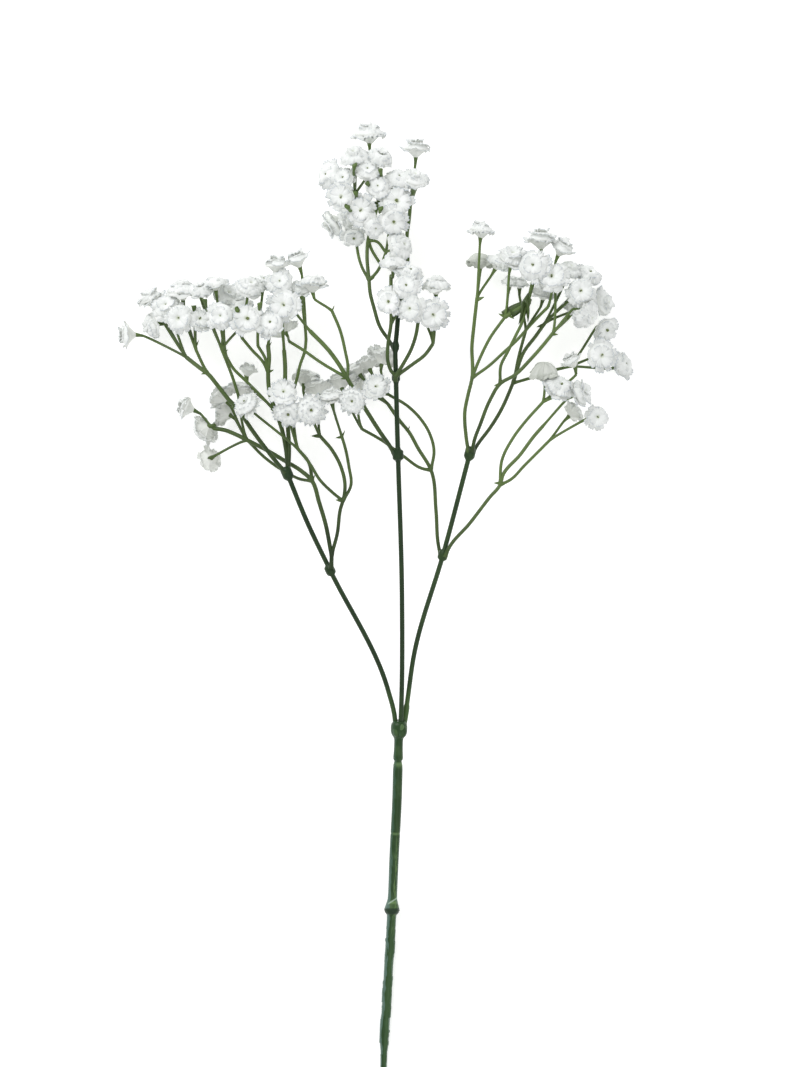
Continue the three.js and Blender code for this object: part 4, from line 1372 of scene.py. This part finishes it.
def green_plastic(name, dark, light, seam_highlight_colour, seam):
    """A satin moulded plastic that runs from dark to light with the tone of its points."""
    material, tree, shader = new_material(name)
    look = add(tree, "ShaderNodeGroup", node_tree=moulded)
    feed(tree, look, {"Tone": attribute(tree, TONE), "Dark": dark, "Light": light,
                      "Seam Colour": seam_highlight_colour, "Seam": seam})
    bump = add(tree, "ShaderNodeBump", {"Strength": 0.35, "Distance": 0.0002,
                                        "Height": look.outputs["Height"]})
    feed(tree, shader, {"Base Color": look.outputs["Color"],
                        "Roughness": look.outputs["Roughness"],
                        "Normal": bump.outputs["Normal"], "Specular IOR Level": DULL})
    return material


# The third colour of each green is its parting line, painted lighter as a painted highlight.
greens = {
    "stem_green": green_plastic("stem_plastic", srgb(34, 64, 26), srgb(108, 138, 88),
                                srgb(82, 110, 76), 0.25),
    "branch_green": green_plastic("branch_plastic", srgb(26, 49, 21), srgb(66, 94, 46),
                                  srgb(74, 100, 62), 0.3),
    "spray_green": green_plastic("spray_plastic", srgb(31, 49, 22), srgb(95, 117, 63),
                                 srgb(98, 118, 78), 0.25),
}
print("greens:", list(greens), "nodes in what they share:", len(moulded.nodes))

# %% [markdown]
# ## Painted sheen and shade on the stem
# The lower stem gets painted highlights down its sides: bands of teal, olive and pale green that
# follow which way the surface faces. Its node gets painted shade in a dark lower ring, and a pale
# painted highlight crosses the top of the node. A painted picture would need unwrapping, so each
# band lies between two ways of the surface's normal, and its strength follows the length of the stem.

# %% Painted sheen and shade
# A band of painted highlight lies between two sides of the stem, from -1 at the left to 1 at the
# right. Between two places along the stem, in metres, its strength changes from the one value to
# the other.
SHEEN_BANDS = [((-2.0, -0.45), (-0.06, -0.1), (0.2, 0.7), srgb(54, 86, 68)),
           ((-2.0, -0.5), (-0.125, -0.17), (0.0, 0.75), srgb(92, 118, 108)),
           ((0.3, 0.55), (-0.12, -0.15), (0.0, 0.8), srgb(98, 128, 76)),
           ((-0.2, 0.75), (-0.17, -0.2), (0.0, 0.85), srgb(48, 80, 42)),
           ((0.8, 2.0), (-0.12, -0.17), (0.0, 0.8), srgb(92, 118, 96))]
SHEEN_BAND_EDGE, SHEEN_BAND_RAGGEDNESS = 0.1, 0.22
# Painted shade: a dark ring under the node's lower edge.
SHADE_RING_TOP, SHADE_RING_BOTTOM, SHADE_RING_EDGE = -0.1762, -0.181, 0.0012  # dark lower ring of the node
SHADE_RING_COLOUR = srgb(30, 54, 32)
# Painted highlight: a pale line across the node's top.
NODE_HIGHLIGHT_SLOPE, NODE_HIGHLIGHT_PLACE = 0.63, -0.1785  # pale tear across the node's top
NODE_HIGHLIGHT_EDGES, NODE_HIGHLIGHT_ENDS = (0.0007, 0.0002), (0.0064, 0.0075)
NODE_HIGHLIGHT_COLOUR = srgb(150, 172, 152)


def sheen_and_shade_group():
    """A colour with painted highlights down the sides of the lower stem, painted shade under its node
    and a painted highlight across the node's top.
    """
    group, given = new_group("painted_sheen_and_shade", [("Color", COLOUR, (0.04, 0.08, 0.03, 1))],
                             [("Color", COLOUR)])
    place = add(group, "ShaderNodeTexCoord").outputs
    across, down, _ = split(group, place["Object"])
    drawn = add(group, "ShaderNodeMapping", {"Vector": place["Object"], "Scale": (1, 0.12, 1)})
    grain = noise(group, drawn.outputs["Vector"], 900.0, 3.0)
    side = work_out(group, "ADD", split(group, place["Normal"])["X"],
                    curve(group, grain, 0.3, 0.7, -SHEEN_BAND_RAGGEDNESS, SHEEN_BAND_RAGGEDNESS))
    colour = given["Color"]
    # Each band is a painted highlight down one side of the stem.
    for (low, high), (top, bottom), (least, most), sheen_colour in SHEEN_BANDS:
        rising = curve(group, side, low - SHEEN_BAND_EDGE, low + SHEEN_BAND_EDGE)
        falling = curve(group, side, high + SHEEN_BAND_EDGE, high - SHEEN_BAND_EDGE)
        strength = work_out(group, "MULTIPLY", work_out(group, "MULTIPLY", rising, falling),
                            curve(group, down, top, bottom, least, most))
        colour = blend(group, strength, colour, sheen_colour)
    # Painted shade under the node.
    ring = work_out(group, "MULTIPLY", curve(group, down, SHADE_RING_BOTTOM, SHADE_RING_BOTTOM + SHADE_RING_EDGE),
                    curve(group, down, SHADE_RING_TOP, SHADE_RING_TOP - SHADE_RING_EDGE))
    # Painted highlight across the node's top.
    slope = work_out(group, "MULTIPLY", across, NODE_HIGHLIGHT_SLOPE)
    off = work_out(group, "SUBTRACT", work_out(group, "SUBTRACT", down, slope), NODE_HIGHLIGHT_PLACE)
    node_highlight = work_out(group, "MULTIPLY", curve(group, work_out(group, "ABSOLUTE", off), *NODE_HIGHLIGHT_EDGES),
                    curve(group, across, *NODE_HIGHLIGHT_ENDS))
    with_shade_ring = blend(group, ring, colour, SHADE_RING_COLOUR)
    add(group, "NodeGroupOutput", {"Color": blend(group, node_highlight, with_shade_ring, NODE_HIGHLIGHT_COLOUR)})
    return group


tree = greens["stem_green"].node_tree
shader = tree.nodes["Principled BSDF"]
plain = shader.inputs["Base Color"].links[0].from_socket
# The stem's colour gets its painted highlights and painted shade.
sheen_and_shade = add(tree, "ShaderNodeGroup", node_tree=sheen_and_shade_group())
feed(tree, sheen_and_shade, {"Color": plain})
feed(tree, shader, {"Base Color": sheen_and_shade.outputs["Color"]})
print("streaks:", len(SHEEN_BANDS), "nodes:", len(sheen_and_shade.node_tree.nodes))

# %% [markdown]
# ## Petal white
# The petals are thin soft plastic, matte white, with faint veins that each petal's own map gives
# their direction. Towards the root they are greener and darker, partly their own tint and partly
# painted shade deep between the sheets. A blue-grey rim is painted shade along their edges, their
# backs get a lighter white, painted light where less light reaches them, and closed blooms are
# painted greyer as painted shade. Light comes through such thin sheets. Where joined sheets cross,
# real light under the surface would leave dark blotches, so a faint glow stands for it, and spares
# the rims, the undersides and the eye.

# %% Petal white
LIGHT_THROUGH = 0.12
BLACK = (0.0, 0.0, 0.0, 1.0)


def petal_white():
    """Matte white petals with veins, and the small green eye in the same material."""
    material, tree, shader = new_material("petal_plastic")
    out, under = attribute(tree, ROOT_TO_TIP), attribute(tree, UNDERSIDE)
    place = add(tree, "ShaderNodeTexCoord").outputs
    petal_map = add(tree, "ShaderNodeMapping", {"Vector": place["UV"], "Scale": (5.0, 0.9, 1.0)})
    veins = noise(tree, petal_map.outputs["Vector"], 1.6)
    cloud = noise(tree, place["Object"], 160.0)
    colour = blend(tree, curve(tree, cloud, 0.3, 0.7), srgb(219, 222, 220), srgb(234, 236, 235))
    for amount, layer in (
            (curve(tree, veins, 0.42, 0.62, 0.2, 0.0), srgb(210, 214, 211)),  # veins
            # root: partly the petals' own green, partly painted shade deep between the sheets
            (curve(tree, out, 0.24, 0.0), srgb(206, 213, 194)),  # root
            # rim: painted shade, a blue-grey outline along the petals' edges
            (curve(tree, out, 0.88, 1.0, 0.0, 0.8), srgb(178, 188, 196)),  # rim
            # underside: painted light, a lighter white on the petals' backs, which get less light
            (curve(tree, under, 0.0, 1.0, 0.0, 0.85), srgb(232, 234, 229)),  # underside
            # closed blooms: painted shade, greyer all over
            (curve(tree, under, 1.0, 2.0), srgb(196, 200, 192)),  # closed blooms
            (curve(tree, out, -0.5, -0.6), srgb(108, 120, 74))):  # eye
        colour = blend(tree, amount, colour, layer)
    inside = blend(tree, curve(tree, out, 0.9, 0.5), BLACK, srgb(236, 238, 236))
    faced = blend(tree, curve(tree, under, 0.2, 0.9), inside, BLACK)
    glow = blend(tree, curve(tree, out, -0.4, -0.6), faced, BLACK)
    bump = add(tree, "ShaderNodeBump", {"Strength": 0.4, "Distance": 0.0003, "Height": veins})
    feed(tree, shader, {"Base Color": colour, "Roughness": curve(tree, veins, 0.3, 0.7, 0.6, 0.75),
                        "Normal": bump.outputs["Normal"], "Specular IOR Level": DULL,
                        "Emission Color": glow, "Emission Strength": LIGHT_THROUGH})
    return material


white = petal_white()
print("nodes of the petals:", len(white.node_tree.nodes))

# %% [markdown]
# ## Table and light
# A plain pale table and two broad soft lights, the larger one beyond the top of the spray, keep
# white petals readable: each ruffle shades the one below it. A harder lamp would draw black
# shadows between the sheets.

# %% Table and light
TABLE_SIZE = 6  # metres
TABLE_GREYS = (0.93, 0.93, 0.93, 1), (0.96, 0.96, 0.96, 1)
TABLE_GLOW, ROOM_LIGHT = 0.4, 0.72
WHITE = (1, 1, 1, 1)
# Name, place and width in metres, and power in watts.
LIGHTS = [("window", (-0.9, 1.3, 1.4), 1.2, 16.0), ("fill", (0.7, -0.7, 1.9), 1.6, 5.0)]


def table_paint():
    """A matte, nearly white paint."""
    material, tree, shader = new_material("table_paint")
    cloud = noise(tree, add(tree, "ShaderNodeTexCoord").outputs["Object"], 3.0)
    feed(tree, shader, {"Base Color": blend(tree, cloud, *TABLE_GREYS), "Roughness": 0.9,
                        "Emission Color": WHITE, "Emission Strength": TABLE_GLOW})
    return material


bpy.ops.object.select_all(action="DESELECT")
bpy.ops.mesh.primitive_plane_add(size=TABLE_SIZE, location=(centre.x * MM, centre.y * MM, 0))
table = bpy.context.object
table.name = "table"
bpy.ops.object.transform_apply(location=True)
table.data.materials.append(table_paint())

for name, place, size, power in LIGHTS:
    lamp = bpy.data.lights.new(name, "AREA")
    lamp.shape, lamp.size, lamp.energy = "DISK", size, power
    light = bpy.data.objects.new(name, lamp)
    light.location = place
    light.rotation_mode = "QUATERNION"
    light.rotation_quaternion = (Vector(place) - centre * MM).to_track_quat("Z", "Y")
    scene.collection.objects.link(light)

world = bpy.data.worlds.new("room")
scene.world = world
world.use_nodes = True
feed(world.node_tree, world.node_tree.nodes["Background"], {"Color": WHITE, "Strength": ROOM_LIGHT})
print("lights:", {lamp.name: lamp.energy for lamp in bpy.data.lights})

# %% [markdown]
# ## Each piece takes its solid's place
# A piece rides on the frame's one body, hides the solid that it stands for, and names the finish
# that it shares with it.

# %% Ride
SLOTS = {"main_stem": "stem_green", "left_branch": "branch_green",
         "centre_branch": "branch_green", "right_branch": "branch_green"}
triangles = {}
for node, piece in pieces.items():
    slot = SLOTS.get(node, "petal_white" if node.startswith("blooms") else "spray_green")
    piece.data.materials.clear()
    piece.data.materials.append(greens.get(slot, white))
    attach(piece, "root")
    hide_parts(node)
    triangles[piece.name] = sum(len(p.vertices) - 2 for p in piece.data.polygons)
print("triangles", sum(triangles.values()), "most", max(triangles.items(), key=lambda t: t[1]))
